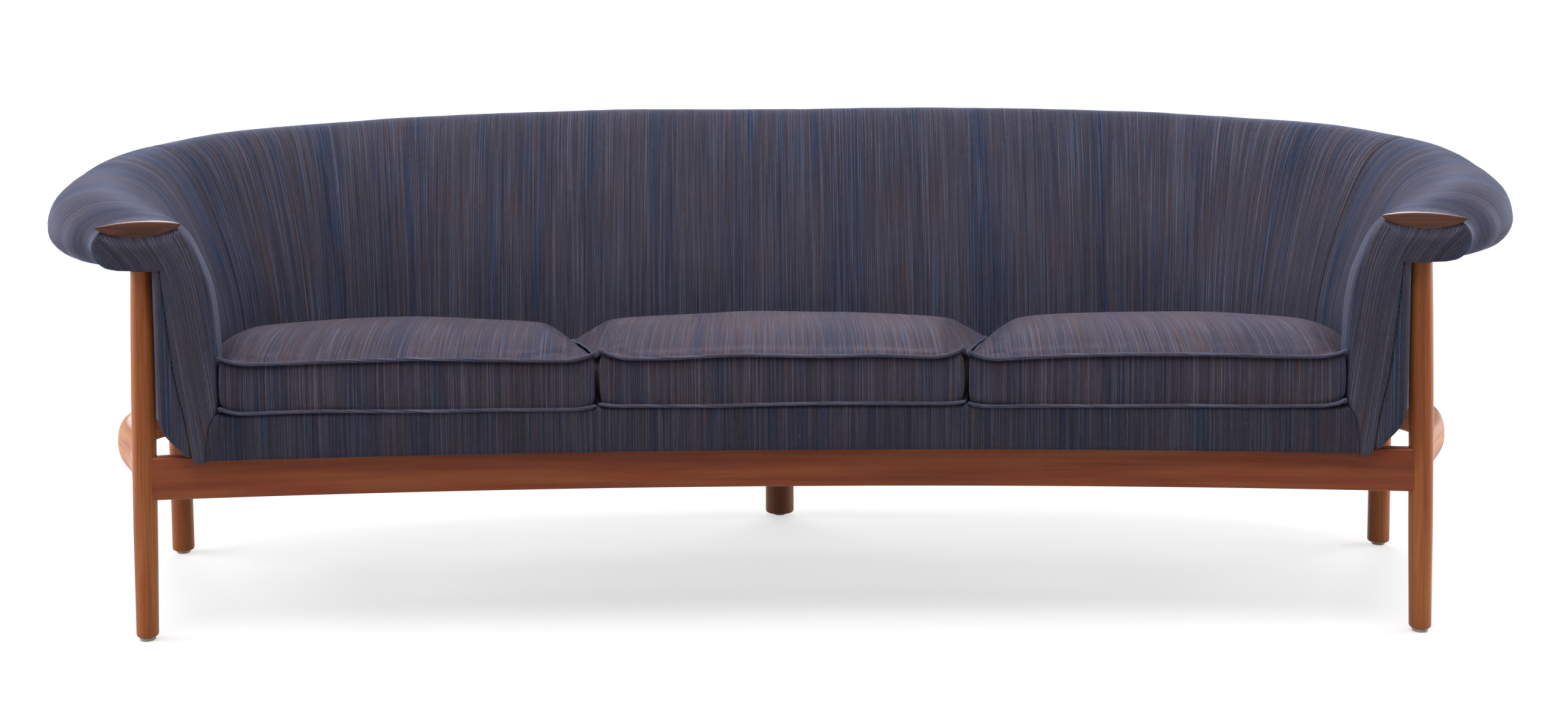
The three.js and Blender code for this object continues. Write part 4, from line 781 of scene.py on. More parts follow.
def makeShell():
    gap = shell["touch"] / 2 / halfPath
    seam = shell["seamShare"]
    shellPanel("backCover", seam + gap, 2 - seam - gap, shell["columnsBack"], ["back_panel"], coverSection,
               shell["seamRound"], 3.0)
    shellPanel("outerBack", seam + gap, 2 - seam - gap, shell["outerColumns"], ["outer_back_panel"], outerSection,
               shell["outerRound"], 5.0)
    for side in ("right", "left"):
        flip = side == "left"
        shellPanel("armCover." + side, 0, seam - gap, shell["columnsArm"], ["arm_panel_" + side], coverSection,
                   shell["seamRound"], 7.0 + flip, mirrored=flip)


makeShell()
print("shell made")


# Facings, outer sides and apron

front = {
    "facingThick": 0.012, "facingRound": 0.0058, "facingCrown": 0.003, "apronThick": 0.03, "apronProud": 0.015,
    "deckTop": 0.352, "deckDish": 0.004, "deckUnder": 0.3336,
    "seamReach": [0.079, 0.062, 0.048, 0.040], "seamShare": [1, 0.45, 0.2, 0],
    "innerFoot": [(0.0195, 0.279), (0.0178, 0.288), (0.0165, 0.305), (0.013, 0.332), (0.0062, 0.3475),
                  (0.0034, 0.354), (0.002, 0.363), (0.0018, 0.395)],
    "toe": [(0.0235, 0.2758), (0.03, 0.2752), (0.036, 0.2782), (0.0395, 0.284)],  # the facing's soft lower end
    "returnRound": 0.010, "seamRound": 0.0022,
    "seamNear": 0.012,                     # how far from the seam beside the leg the edge gets tighter
    "stripeLean": 0.13, "lobeLean": 0.9, "lobeFrom": 0.575, "lobeSoft": 0.03, "lobeWide": 0.17,
    "tuckDeep": 0.0045, "tuckBelow": 0.011, "tuckBeside": 0.012,  # the cover's hollow behind the arm cap
    "loopStep": 0.0035, "plateStep": 0.006,
    "edgeRings": (0.0006, 0.0018, 0.0036, 0.006, 0.009, 0.0125), "edgeClear": 0.0155,
    "back": 0.001, "hair": 0.0006,         # the plates' rear side, and a hair's breadth between two covers
    "apronDrop": 0.0083, "apronPuff": 0.0014, "apronEnd": 0.0035, "apronHalf": 0.87,
}
stitches = {"low": 0.345, "high": 0.535, "pitch": 0.0105, "length": 0.0062, "thread": 0.00045,
            "slant": 58, "slantSwing": 14, "arch": 0.0035, "steps": 9, "sides": 6}
caps = {"length": 0.124, "depth": 0.044, "thick": 0.0265, "proud": 0.0025, "tipDrop": 0.006, "frontBow": 0.005,
        "frontProud": 0.002, "out": 0.1085, "hull": [(0.76, 0.5), (0.35, 1), (0.12, 0.94)], "steps": 56,
        "tilt": 0.004,  # how much lower the outer tip lies
        "edge": 0.0004, "dome": 0.0006, "around": 48, "soften": 2}


def distancesTo(points, loop):
    start, run = loop, np.roll(loop, -1, axis=0) - loop
    rel = points[:, None, :] - start[None]
    t = np.clip((rel * run).sum(-1) / np.maximum((run * run).sum(-1), 1e-16), 0, 1)
    return np.linalg.norm(rel - run * t[..., None], axis=2).min(axis=1)


def inside(points, loop):
    x, y = points[:, 0][:, None], points[:, 1][:, None]
    a, b = loop, np.roll(loop, -1, axis=0)
    crosses = (a[:, 1] > y) != (b[:, 1] > y)
    with np.errstate(divide="ignore", invalid="ignore"):
        at = a[:, 0] + (y - a[:, 1]) * (b[:, 0] - a[:, 0]) / (b[:, 1] - a[:, 1])
    return (crosses & (x < at)).sum(axis=1) % 2 == 1


def softPlate(name, loop, depthAt, place, weaveAt, mirrored=False):
    # A padded plate with the loop's outline. depthAt gives its depth from the distance to its edge.
    spins = loop[:, 0] * np.roll(loop[:, 1], -1) - np.roll(loop[:, 0], -1) * loop[:, 1]
    if spins.sum() < 0:
        loop = loop[::-1]
    along = unit(np.roll(loop, -1, axis=0) - np.roll(loop, 1, axis=0))
    normal = np.stack([-along[:, 1], along[:, 0]], axis=1)
    points = [loop]
    for off in front["edgeRings"]:
        ring = loop + normal * off
        points.append(ring[(distancesTo(ring, loop) > off * 0.93) & inside(ring, loop)])
    low, high, spacing = loop.min(axis=0), loop.max(axis=0), front["plateStep"]
    rows = np.arange(low[1], high[1], spacing * 0.87)
    grid = np.array([(x + (i % 2) * spacing / 2, y) for i, y in enumerate(rows)
                     for x in np.arange(low[0], high[0], spacing)])
    grid = grid[inside(grid, loop)]
    points.append(grid[distancesTo(grid, loop) > front["edgeClear"]])
    edges = [(i, (i + 1) % len(loop)) for i in range(len(loop))]
    verts, _, faces, *_ = delaunay_2d_cdt([Vector(p) for p in np.concatenate(points)], edges, [], 1, 1e-7)
    verts = np.array([tuple(v) for v in verts])
    depth = depthAt(verts, distancesTo(verts, loop))
    total = len(verts)
    used = {(a, b) for f in faces for a, b in zip(f, f[1:] + f[:1])}
    sides = [(b, a, a + total, b + total) for a, b in used if (b, a) not in used]
    everyFace = [tuple(f) for f in faces] + [tuple(v + total for v in reversed(f)) for f in faces] + sides
    body = np.concatenate([place(verts, depth), place(verts, depth * 0)])
    pairs = np.concatenate([weaveAt(verts, depth), weaveAt(verts, depth * 0)])
    return newMesh(name, body, everyFace, weave=pairs, mirrored=mirrored)


def onEndFace(flat, forward):
    # Points (reach, height) on the arm's end face, moved forward from it.
    spot, outward = seatSpot(0)
    ahead = np.array([outward[1], -outward[0]])
    plan = spot + outward * flat[:, :1] + ahead * np.reshape(forward, (-1, 1))
    return np.concatenate([plan, flat[:, 1:2]], axis=1)


def facingSeamLine():
    low, high = shell["floor"] - shell["lip"], legs["armUnderside"] - shell["touch"]
    return smoothCurve([(r, lerp(low, high, s)) for r, s in zip(front["seamReach"], front["seamShare"])], 12)


def facingWeave(flat, depth):
    # Stripes lean towards the middle on their way down, and swing further over under the cap.
    reach, height = flat[:, 0], flat[:, 1]
    reach = reach + np.where(reach < 0.045, -1, 1) * np.clip(front["facingThick"] - depth, 0, None)
    lobe = np.clip((reach + 0.01) / front["lobeWide"], 0, 1)
    soft = front["lobeSoft"]
    lean = (front["stripeLean"] * (height - 0.45)
            + front["lobeLean"] * lobe * soft * np.logaddexp(0, (height - front["lobeFrom"]) / soft))
    return np.stack([reach - lean + 2.1, height], axis=1)


def facingDepth(flat, edge):
    # Rounded edges, a slight crown, and a hollow where the cover is tucked in under the arm cap.
    seam = facingSeamLine()
    fromSeam = np.interp(flat[:, 1], seam[::-1, 1], seam[::-1, 0]) - flat[:, 0]
    bySeam = np.clip(1 - fromSeam / front["seamNear"], 0, 1) * (flat[:, 1] < legs["armUnderside"] - 0.001)
    radius = lerp(front["facingRound"], front["seamRound"], bySeam)
    depth = front["facingThick"] - rollDepth(edge, radius)
    depth += front["facingCrown"] * (1 - np.exp(-(edge / 0.022) ** 2))
    across = np.clip((flat[:, 0] - caps["out"]) / (caps["length"] / 2), -1, 1)
    lens = 1 - across**2
    drop = caps["tilt"] * (1 + across) / 2
    capFront = front["facingThick"] + caps["frontProud"] - caps["frontBow"] * (1 - lens)
    capUnder = (shell["crestHeight"][0] + caps["proud"] - caps["tipDrop"] * (1 - lens) - drop
                - caps["thick"] * lens**0.8)
    below = np.clip((capUnder - flat[:, 1]) / front["tuckBelow"], 0, 1)
    beside = np.clip((np.abs(flat[:, 0] - caps["out"]) - caps["length"] / 2) / front["tuckBeside"], 0, 1)
    clear = np.maximum(below, beside)
    tucked = np.minimum(depth, capFront - front["tuckDeep"])
    return lerp(tucked, depth, clear * clear * (3 - 2 * clear))


def sewSeam(name, seam, mirrored):
    # Slanted hand stitches over the seam beside the front leg, each an arch of thread.
    points, faces = [], []
    steps, sides = stitches["steps"], stitches["sides"]
    for count, height in enumerate(np.arange(stitches["low"], stitches["high"], stitches["pitch"])):
        middle = np.interp(height, seam[::-1, 1], seam[::-1, 0])
        slant = math.radians(stitches["slant"] + stitches["slantSwing"] * math.sin(2.4 * count))
        half = stitches["length"] / 2 * (1 + 0.2 * math.sin(1.7 * count))
        first = len(points)
        for t in np.linspace(-1, 1, steps):
            flat = np.array([[middle + half * t * math.cos(slant), height + half * t * math.sin(slant)]])
            out = front["facingThick"] + shell["touch"] - stitches["arch"] * abs(t) ** 4
            centre = onEndFace(flat, out)[0]
            for a in np.linspace(0, 2 * math.pi, sides, endpoint=False):
                x, y = stitches["thread"] * math.cos(a), stitches["thread"] * math.sin(a)
                points.append(centre + [x * math.sin(slant), y, -x * math.cos(slant)])
        faces += gridFaces(steps, sides, first, closed=True)
        last = first + (steps - 1) * sides
        faces += [tuple(first + k for k in reversed(range(sides))), tuple(last + k for k in range(sides))]
    finish(newMesh(name, points, faces, mirrored=mirrored), "sofa", thread)


def makeFront():
    cover = coverPoints(0)
    inner = smoothCurve(front["innerFoot"] + [tuple(p) for p in cover[2:-1]], 14)
    seam = facingSeamLine()
    outline = np.concatenate([inner, [cover[-1] + [0.004, 0]], seam[:-3], front["toe"][::-1]])
    closed = np.concatenate([outline, outline[:1]])
    loop = evenly(closed, int(lengthsAlong(closed)[-1] / front["loopStep"]))[:-1]
    wall = outerSection(0)[0]
    seamByHeight = np.interp(wall[:, 1], seam[::-1, 1], seam[::-1, 0]) + front["hair"]
    shares = seamStations(0, shell["seamShare"] - shell["touch"] / 2 / halfPath, 40)[7:]
    bend, ahead = front["returnRound"], front["facingThick"] - front["hair"]

    def atEnd(reach, forward):
        return onEndFace(np.stack([reach, wall[:, 1]], axis=1), forward)

    for side in ("right", "left"):
        flip = side == "left"
        plate = softPlate("facing." + side, loop, facingDepth, onEndFace, facingWeave, mirrored=flip)
        finish(plate, "sofa", facingTwill, ["facing_" + side], 50)
        face, back, weave = [], [], []
        for t in np.concatenate([[0, 0.015, 0.04, 0.08], np.linspace(0.16, 1, 5)]):
            reach = lerp(seamByHeight, wall[:, 0] - bend, t)
            face.append(atEnd(reach, ahead - rollDepth(reach - seamByHeight, 0.004)))
            back.append(atEnd(reach, front["back"]))
            weave.append(reach)
        for a in np.radians([18, 36, 54, 72, 90]):
            face.append(atEnd(wall[:, 0] - bend + bend * math.sin(a), ahead - bend + bend * math.cos(a)))
            back.append(atEnd(wall[:, 0] - 0.008, front["back"]))
            weave.append(wall[:, 0] - bend + bend * a)
        for share in shares:
            spot, outward = seatSpot(share)
            line, lining = outerSection(share)
            rolled = rollDepth((shares[-1] - share) * halfPath, shell["outerRound"])
            face.append(placed(line + unit(lining - line) * rolled, spot, outward))
            back.append(placed(lining, spot, outward))
            weave.append(wall[:, 0] - bend + bend * math.pi / 2 + share * halfPath)
        face, back = np.array(face), np.array(back)
        weave = np.stack([np.array(weave) + 4.4, np.tile(wall[:, 1], (len(weave), 1))], axis=2)
        panel = paddedSheet("outerSide." + side, face, back, weave, mirrored=flip)
        finish(panel, "sofa", twill, ["outer_side_panel_" + side], 50)
        sewSeam("seamStitches." + side, seam, flip)


def frontLineY(x, back=0.0):
    # The apron's face in plan, or a line some way behind it.
    legLine = legX((rails["low"] + rails["high"]) / 2)
    return rails["bow"] * (1 - (x / legLine) ** 2) - rails["thick"] / 2 - front["apronProud"] + back


def makeApron():
    low, top = shell["floor"] - front["apronDrop"], front["deckTop"]
    railTop, railFace = rails["high"] + shell["touch"], front["apronProud"] - shell["touch"]
    corners = [(railFace, railTop), (railFace, low), (0, low), (0, top), (front["apronThick"], top),
               (front["apronThick"], railTop)]
    section = roundedProfile(corners, [0, 0.002, 0.005, 0.009, 0.002, 0], 7)
    section = evenly(np.array(section + [corners[0]]), 90)[:-1]
    puff = front["apronPuff"] * np.sin(np.clip((section[:, 1] - low) / (top - low), 0, 1) * math.pi)
    section[:, 0] -= np.where(section[:, 0] < 0.001, puff, 0)
    foot = np.array(front["innerFoot"])
    endReach = np.interp(section[:, 1], foot[:, 1], foot[:, 0]) - front["hair"]
    spot, outward = seatSpot(0)
    rings, weave = [], []
    around = lengthsAlong(np.concatenate([section, section[:1]]))[:-1]
    ends = np.array([0, 0.0008, 0.002, 0.0036])
    for s in np.concatenate([ends - 1, np.linspace(-0.994, 0.994, 150), 1 - ends[::-1]]):
        x = s * (spot[0] + endReach * outward[0])
        depth = rollDepth((1 - abs(s)) * front["apronHalf"], front["apronEnd"])
        y = frontLineY(x, section[:, 0] + np.where(section[:, 0] < 0.01, depth, 0))
        rings.append(np.stack([x, y, section[:, 1]], axis=1))
        weave.append(np.stack([x + 6.3, around], axis=1))
    apron = loftBody("apronCover", np.array(rings), weave=np.array(weave))
    # The apron gets the darker twill, painted shade.
    finish(apron, "sofa", paintedShadeApronTwill, ["apron"], 50)


makeFront()
makeApron()
print("facings and apron made")


def makeCaps():
    spot, outward = seatSpot(0)
    offset = front["facingThick"] + caps["frontProud"] - caps["frontBow"]
    middle = np.array([spot[0] + outward[0] * caps["out"] + outward[1] * offset,
                       spot[1] + outward[1] * caps["out"] - outward[0] * offset])
    behind = np.array([-outward[1], outward[0]])
    rings, grain = [], []
    for along in np.sin(np.linspace(-math.pi / 2, math.pi / 2, caps["steps"])):
        lens = 1 - along * along
        deck = caps["proud"] - caps["tipDrop"] * (1 - lens) - caps["tilt"] * (1 + along) / 2
        start = -caps["frontBow"] * lens
        depth = caps["depth"] * lens**0.7 + caps["edge"]
        thick = caps["thick"] * lens**0.8 + caps["edge"]
        rim = deck - caps["edge"] / 2
        hull = [(start + b * depth, deck - d * thick) for b, d in caps["hull"]]
        under = smoothCurve([(start + depth, rim)] + hull + [(start, rim)], 8)
        top = [(start + depth * t, deck + caps["dome"] * math.sin(math.pi * t)) for t in np.linspace(0, 1, 9)]
        ring = evenly(np.concatenate([top, under, top[:1]]), caps["around"])[:-1]
        for _ in range(caps["soften"]):
            ring = (np.roll(ring, 1, axis=0) + 2 * ring + np.roll(ring, -1, axis=0)) / 4
        out = along * caps["length"] / 2
        plan = middle + outward * out + ring[:, :1] * behind
        rings.append(np.concatenate([plan, shell["crestHeight"][0] + ring[:, 1:]], axis=1))
        grain.append(np.stack([ring[:, 0], np.full(len(ring), out), ring[:, 1]], axis=1))
    for side, seed in (("right", 0.3), ("left", 0.95)):
        cap = loftBody("armCap." + side, np.array(rings), grain=np.array(grain) + seed, mirrored=side == "left")
        finish(cap, "sofa", capTeak, ["arm_cap_" + side], 35)


makeCaps()
print("arm caps made")


# Seat: patches between four sides in plan

seat = {
    "seamFront": 0.285, "seamBack": 0.392, "gap": 0.0008, "wallGap": 0.0004, "proud": 0.0035,
    "bottom": 0.3523, "cornerRound": 0.0105, "pipeRadius": 0.0026, "pipeInset": 0.003,
    "across": 66, "deep": 66, "pipeSides": 12,
    "rearDrop": 0.046,  # how much lower the top seam lies at the rear corners, worn soft by sitting
    "rearRise": 0.003,  # how much higher the low seam lies there
    "topWave": (0.13, 0.003), "lowWave": (0.16, 0.0028),  # how long and how deep the seams wander
    "rows": [(0.03, 0.007), (0.062, 0.0066), (0.092, 0.0022), (0.16, 0.0002), (0.3, -0.0008), (0.5, -0.0016),
             (0.7, -0.0008), (0.85, 0.0008), (0.93, 0.0034), (0.97, 0.005)],  # share down the boxing and its inset there
    # Heights of the seams at the two ends of the front, their bow between, and the lift of the four corners.
    "outer": {"top": (0.4225, 0.4285), "bow": 0.0052, "ears": (0.0125, 0.01), "low": (0.3486, 0.3532),
              "lowEars": (0.005, 0.009), "crown": 0.041, "fullness": (13, 14)},
    "centre": {"top": (0.4264, 0.4264), "bow": 0.0038, "ears": (0.014, 0.014), "low": (0.3522, 0.3522),
               "lowEars": (0.003, 0.003), "crown": 0.042, "fullness": (13, 13)},
    "earWidth": 0.09, "lowEarWidth": 0.07,
    "pressure": 3.2, "growth": 0.012, "frames": 20, "capTop": 0.007, "capSide": 0.0035,
}


def seatEdge(offset, shares):
    return np.array([spot + outward * offset for spot, outward in map(seatSpot, shares)])


def shareAtX(x):
    shares = np.linspace(shell["seamShare"], 1, 900)
    line = pointsAt(seatLine, shares * halfPath)
    return shares[np.argmin(np.abs(line[:, 0] - x))]


def roundedSides(sides, radii, counts):
    # Four sides that run round in one direction. Corner k, at the start of side k, is rounded.
    curves = []
    for k, side in enumerate(sides):
        before, r = sides[k - 1], radii[k]
        if not r:
            curves.append(np.array([side[0]]))
            continue
        start = pointsAt(before, [lengthsAlong(before)[-1] - r])[0]
        end = pointsAt(side, [r])[0]
        t = np.linspace(0, 1, 25)[:, None]
        curves.append((1 - t) ** 2 * start + 2 * t * (1 - t) * side[0] + t * t * end)
    out = []
    for k, side in enumerate(sides):
        after = (k + 1) % len(sides)
        length = lengthsAlong(side)[-1]
        body = pointsAt(side, np.linspace(radii[k], length - radii[after], 200))
        first = curves[k][len(curves[k]) // 2:]
        last = curves[after][:len(curves[after]) // 2 + 1]
        line = np.concatenate([first, body, last])
        keep = np.concatenate([[True], np.linalg.norm(np.diff(line, axis=0), axis=1) > 1e-9])
        out.append(evenly(line[keep], counts[k]))
    return out


def coons(sides):
    # A grid (across, deep) between a front, a right, a back and a left side that run round.
    f, r, b, l = sides[0], sides[1], sides[2][::-1], sides[3][::-1]
    s = np.linspace(0, 1, len(f))[:, None, None]
    t = np.linspace(0, 1, len(r))[None, :, None]
    return ((1 - t) * f[:, None] + t * b[:, None] + (1 - s) * l[None] + s * r[None]
            - ((1 - s) * (1 - t) * f[0] + s * (1 - t) * f[-1] + (1 - s) * t * b[0] + s * t * b[-1]))


def ringOf(rows, columns):
    # Indices of a grid's border, in order: front, right, back, left.
    ring = [i * columns for i in range(rows)]
    ring += [(rows - 1) * columns + j for j in range(1, columns)]
    ring += [i * columns + columns - 1 for i in range(rows - 2, -1, -1)]
    return ring + list(range(columns - 2, 0, -1))


def insetLoop(loop, depth):
    along = unit(np.roll(loop, -1, axis=0) - np.roll(loop, 1, axis=0))
    return loop + np.stack([-along[:, 1], along[:, 0]], axis=1) * np.reshape(depth, (-1, 1))


def inflate(obj, pins, furthest, pressure, growth, frames):
    # Cloth under air pressure, its seams held. No point moves further than it may.
    start = np.array([v.co[:] for v in obj.data.vertices])
    group = obj.vertex_groups.new(name="seams")
    group.add([int(i) for i in pins], 1.0, "REPLACE")
    cloth = obj.modifiers.new("cloth", "CLOTH")
    for key, value in {"quality": 5, "mass": 0.25, "tension_stiffness": 16, "compression_stiffness": 16,
                       "shear_stiffness": 8, "bending_stiffness": 0.6, "use_pressure": True, "shrink_min": -growth,
                       "uniform_pressure_force": pressure, "vertex_group_mass": "seams"}.items():
        setattr(cloth.settings, key, value)
    cloth.settings.effector_weights.gravity = 0
    cloth.collision_settings.use_collision = False
    cloth.point_cache.frame_start = 1
    cloth.point_cache.frame_end = frames
    for f in range(1, frames + 1):
        bpy.context.scene.frame_set(f)
    solved = obj.evaluated_get(bpy.context.evaluated_depsgraph_get())
    end = np.array([v.co[:] for v in solved.data.vertices])
    obj.modifiers.remove(cloth)
    obj.vertex_groups.clear()
    bpy.context.scene.frame_set(1)
    move = end - start
    far = np.linalg.norm(move, axis=1, keepdims=True)
    move = move * np.minimum(1, furthest[:, None] / np.maximum(far, 1e-9))
    obj.data.vertices.foreach_set("co", (start + move).ravel())
    obj.data.update()
    print("  inflated", obj.name, "moved up to", round(float(far.max()) * 1000, 1), "mm")


def makePiping(name, line, body, seed):
    # A closed cord of cloth along a loop of points.
    count, sides, radius = len(line), seat["pipeSides"], seat["pipeRadius"]
    along = unit(np.roll(line, -1, axis=0) - np.roll(line, 1, axis=0))
    side = unit(np.cross(along, [0, 0, 1]))
    rise = np.cross(side, along)
    run = lengthsAlong(np.concatenate([line, line[:1]]))
    points, weave = [], []
    for i in range(count):
        for k in range(sides):
            a = 2 * math.pi * k / sides
            points.append(line[i] + radius * (side[i] * math.cos(a) + rise[i] * math.sin(a)))
            weave.append((run[i] * 0.12 + radius * a + seed, run[i] - 0.12 * radius * a))
    faces = [tuple(v % len(points) for v in f) for f in gridFaces(count + 1, sides, closed=True)]
    # The piping gets the lighter twill, a painted highlight.
    finish(newMesh(name, points, faces, weave=weave), body, paintedHighlightPipingTwill)


def makeCushion(name, sides, radii, look, body, node, slant, seed, mirrored=False):
    nx, ny = seat["across"], seat["deep"]
    outline = roundedSides(sides, radii, [nx, ny, nx, ny])
    loop = insetLoop(np.concatenate([s[:-1] for s in outline]), seat["pipeInset"])
    splits = np.cumsum([0] + [len(s) - 1 for s in outline])
    closed = np.concatenate([loop, loop[:1]])
    inner = [closed[a:b + 1] for a, b in zip(splits, splits[1:])]
    plan = coons(inner)
    s, t = (np.linspace(0, 1, len(side)) for side in inner[:2])
    wide, narrow, rise = seat["earWidth"], seat["lowEarWidth"], seat["rearRise"]
    (first, last), (firstLow, lastLow) = look["ears"], look["lowEars"]

    def ear(t, width):
        return np.maximum(1 - t / width, 0) ** 2

    lifts = [first * ear(s, wide) + last * ear(1 - s, wide) + look["bow"] * np.sin(math.pi * s) ** 2,
             last * ear(t, wide), s * 0, first * ear(1 - t, wide)]
    lowLifts = [firstLow * ear(s, narrow) + lastLow * ear(1 - s, narrow),
                lastLow * ear(t, narrow) + rise * t, s * 0 + rise, firstLow * ear(1 - t, narrow) + rise * (1 - t)]
    drops = [s * 0, t**1.3, 1 - 0.35 * np.sin(math.pi * s), (1 - t) ** 1.3]
    ends = [s, t * 0 + 1, 1 - s, t * 0]

    def wavy(size, depth, start):
        return [np.array([noise.noise(Vector((p[0] / size + start, p[1] / size, 0))) * depth for p in side])
                for side in inner]

    topSides = [(lerp(*look["top"], e) + l - seat["rearDrop"] * d + w)[:, None]
                for e, l, d, w in zip(ends, lifts, drops, wavy(*seat["topWave"], seed))]
    lowSides = [(lerp(*look["low"], e) + l + w)[:, None]
                for e, l, w in zip(ends, lowLifts, wavy(*seat["lowWave"], seed + 4))]
    for group in (topSides, lowSides):
        for k in range(4):
            group[k][-1] = group[(k + 1) % 4][0]
    topSeam = coons(topSides)[:, :, 0]
    s = np.linspace(-1, 1, nx)[:, None]
    t = np.linspace(-1, 1, ny)[None, :]
    fullness = np.where(s < 0, *look["fullness"])
    top = topSeam + look["crown"] * (1 - np.abs(s) ** fullness) * (1 - np.abs(t) ** 3)
    grid = nx * ny
    ring = ringOf(nx, ny)
    around = len(ring)
    lowRing = np.concatenate([g[:-1, 0] for g in lowSides])
    bottom = np.full((nx, ny), seat["bottom"])
    bottom.ravel()[ring] = lowRing
    upper, lower = (np.concatenate([plan, z[:, :, None]], axis=2).reshape(-1, 3) for z in (top, bottom))
    points = [upper, lower]
    for down, inset in seat["rows"]:
        spot = insetLoop(loop, inset)
        height = lerp(upper[ring, 2], lowRing, down)
        points.append(np.concatenate([spot, height[:, None]], axis=1))
    points = np.concatenate(points)
    faces = gridFaces(nx, ny) + gridFaces(nx, ny, grid, flip=True)
    kinds = ["top"] * ((nx - 1) * (ny - 1)) + ["under"] * ((nx - 1) * (ny - 1))
    levels = [ring] + [[2 * grid + k * around + j for j in range(around)] for k in range(len(seat["rows"]))]
    levels.append([grid + i for i in ring])
    for upperRow, lowerRow in zip(levels, levels[1:]):
        for j in range(around):
            k = (j + 1) % around
            faces.append((upperRow[j], lowerRow[j], lowerRow[k], upperRow[k]))
            kinds.append("side" if k else "last")
    cushion = newMesh(name, points, faces, mirrored=mirrored)
    run = lengthsAlong(closed)
    sideU = {index: (run[j], j) for level in levels for j, index in enumerate(level)}
    layer = cushion.data.uv_layers.new(name="weave")
    for poly, kind in zip(cushion.data.polygons, kinds):
        for corner in poly.loop_indices:
            index = cushion.data.loops[corner].vertex_index
            x, y, z = points[index]
            if kind in ("top", "under"):
                pair = (x - slant * (y - 0.3) + seed, y)
            else:
                u, j = sideU[index]
                pair = (u + (run[-1] if kind == "last" and j == 0 else 0) + 1.7 * seed, z)
            layer.data[corner].uv = pair
    pins = list(ring) + list(range(grid, 2 * grid))
    furthest = np.full(len(points), seat["capTop"])
    for k, (down, inset) in enumerate(seat["rows"]):
        furthest[2 * grid + k * around:2 * grid + (k + 1) * around] = seat["capSide"] if inset < 0.002 else 0.0006
    inflate(cushion, pins, furthest, seat["pressure"], seat["growth"], seat["frames"])
    subdivide = cushion.modifiers.new("smooth", "SUBSURF")
    subdivide.levels = subdivide.render_levels = 1
    finish(cushion, body, cushionTwill, [node])
    for part, lineIndex in (("pipingTop", ring), ("pipingLow", [grid + i for i in ring])):
        line = points[lineIndex].copy()
        if mirrored:
            line[:, 0] *= -1
        dense = smoothCurve(np.concatenate([line[-2:], line, line[:2]]), 3)[6:-6]
        keep = np.linalg.norm(np.diff(np.concatenate([dense, dense[:1]]), axis=0), axis=1) > 1e-6
        makePiping(name.replace("cushion", part), dense[keep], body, seed)


def makeSeat():
    half = seat["seamFront"] - seat["gap"] / 2
    share = shareAtX(seat["seamBack"])
    xs = np.linspace(-half, half, 120)
    frontRun = np.stack([xs, frontLineY(xs, -seat["proud"])], axis=1)
    back = seatEdge(-seat["wallGap"], np.linspace(share, 2 - share, 120))
    back[0, 0] -= seat["gap"] / 2
    back[-1, 0] += seat["gap"] / 2
    right = np.linspace(frontRun[-1], back[0], 80)
    left = np.linspace(back[-1], frontRun[0], 80)
    r = seat["cornerRound"]
    makeCushion("cushion.centre", [frontRun, right, back, left], [r, r, r, r], seat["centre"], "cushion_centre",
                "seat_cushion_centre", 0, 1.0)
    edge = seatEdge(-seat["wallGap"], np.linspace(0, share, 400))
    edge[-1, 0] += seat["gap"] / 2
    xs = np.linspace(seat["seamFront"] + seat["gap"] / 2, edge[0, 0], 120)
    frontRun = np.stack([xs, frontLineY(xs, -seat["proud"])], axis=1)
    edge[0] = frontRun[-1]
    split = int(400 * 0.31 / share)
    left = np.linspace(edge[-1], frontRun[0], 80)
    for side, seed in (("right", 2.0), ("left", 3.0)):
        makeCushion("cushion." + side, [frontRun, edge[:split + 1], edge[split:], left], [r, r, 0, r],
                    seat["outer"], "cushion_" + side, "seat_cushion_" + side, 0.1, seed, mirrored=side == "left")


def flatPatch(name, offsetAt, frontBack, low, high, nodes, dish):
    # A cotton-covered plate or sheet between the arms, dished a little in its middle, and its area in plan.
    nx, ny, split = plates["across"], plates["deep"], plates["split"]
    edge = np.array([seatEdge(offsetAt(share), [share])[0] for share in np.linspace(plates["start"], 1, 300)])
    xs = np.linspace(-edge[0, 0], edge[0, 0], 200)
    frontRun = np.stack([xs, frontLineY(xs, frontBack)], axis=1)
    far = edge[::-1] * [-1, 1]
    sides = [frontRun, np.concatenate([frontRun[-1:], edge[:split + 1]]),
             np.concatenate([edge[split:], far[1:len(far) - split]]), np.concatenate([far[-split - 1:], frontRun[:1]])]
    plan = coons(roundedSides(sides, [0, 0, 0, 0], [nx, ny, nx, ny]))
    s = np.linspace(-1, 1, nx)[:, None]
    t = np.linspace(-1, 1, ny)[None, :]
    depth = dish * (1 - s**4) * (1 - t**4)
    face = np.concatenate([plan, (high - depth)[:, :, None]], axis=2)
    under = np.concatenate([plan, np.full((nx, ny, 1), low)], axis=2)
    plate = paddedSheet(name, face, under, plan.copy())
    finish(plate, "sofa", cotton, nodes, 50)
    border = plan.reshape(-1, 2)[ringOf(nx, ny)]
    following = np.roll(border, -1, axis=0)
    return plate, abs((border[:, 0] * following[:, 1] - following[:, 0] * border[:, 1]).sum()) / 2


straps = {"count": 5, "thick": 0.0016, "fold": 0.028, "sag": 0.005, "selvedge": 0.0004, "room": 0.0005,
          "skin": 0.0002, "weave": 0.00012, "pitch": 0.004, "rows": 90, "across": 25}
dustCover = {"low": 0.2869, "high": 0.2879, "inFromHeel": 0.012, "behind": 0.001, "dish": 0.0002}
plates = {"split": 110, "across": 140, "deep": 50, "start": 0.02}  # places along the edge and points of a flat cover


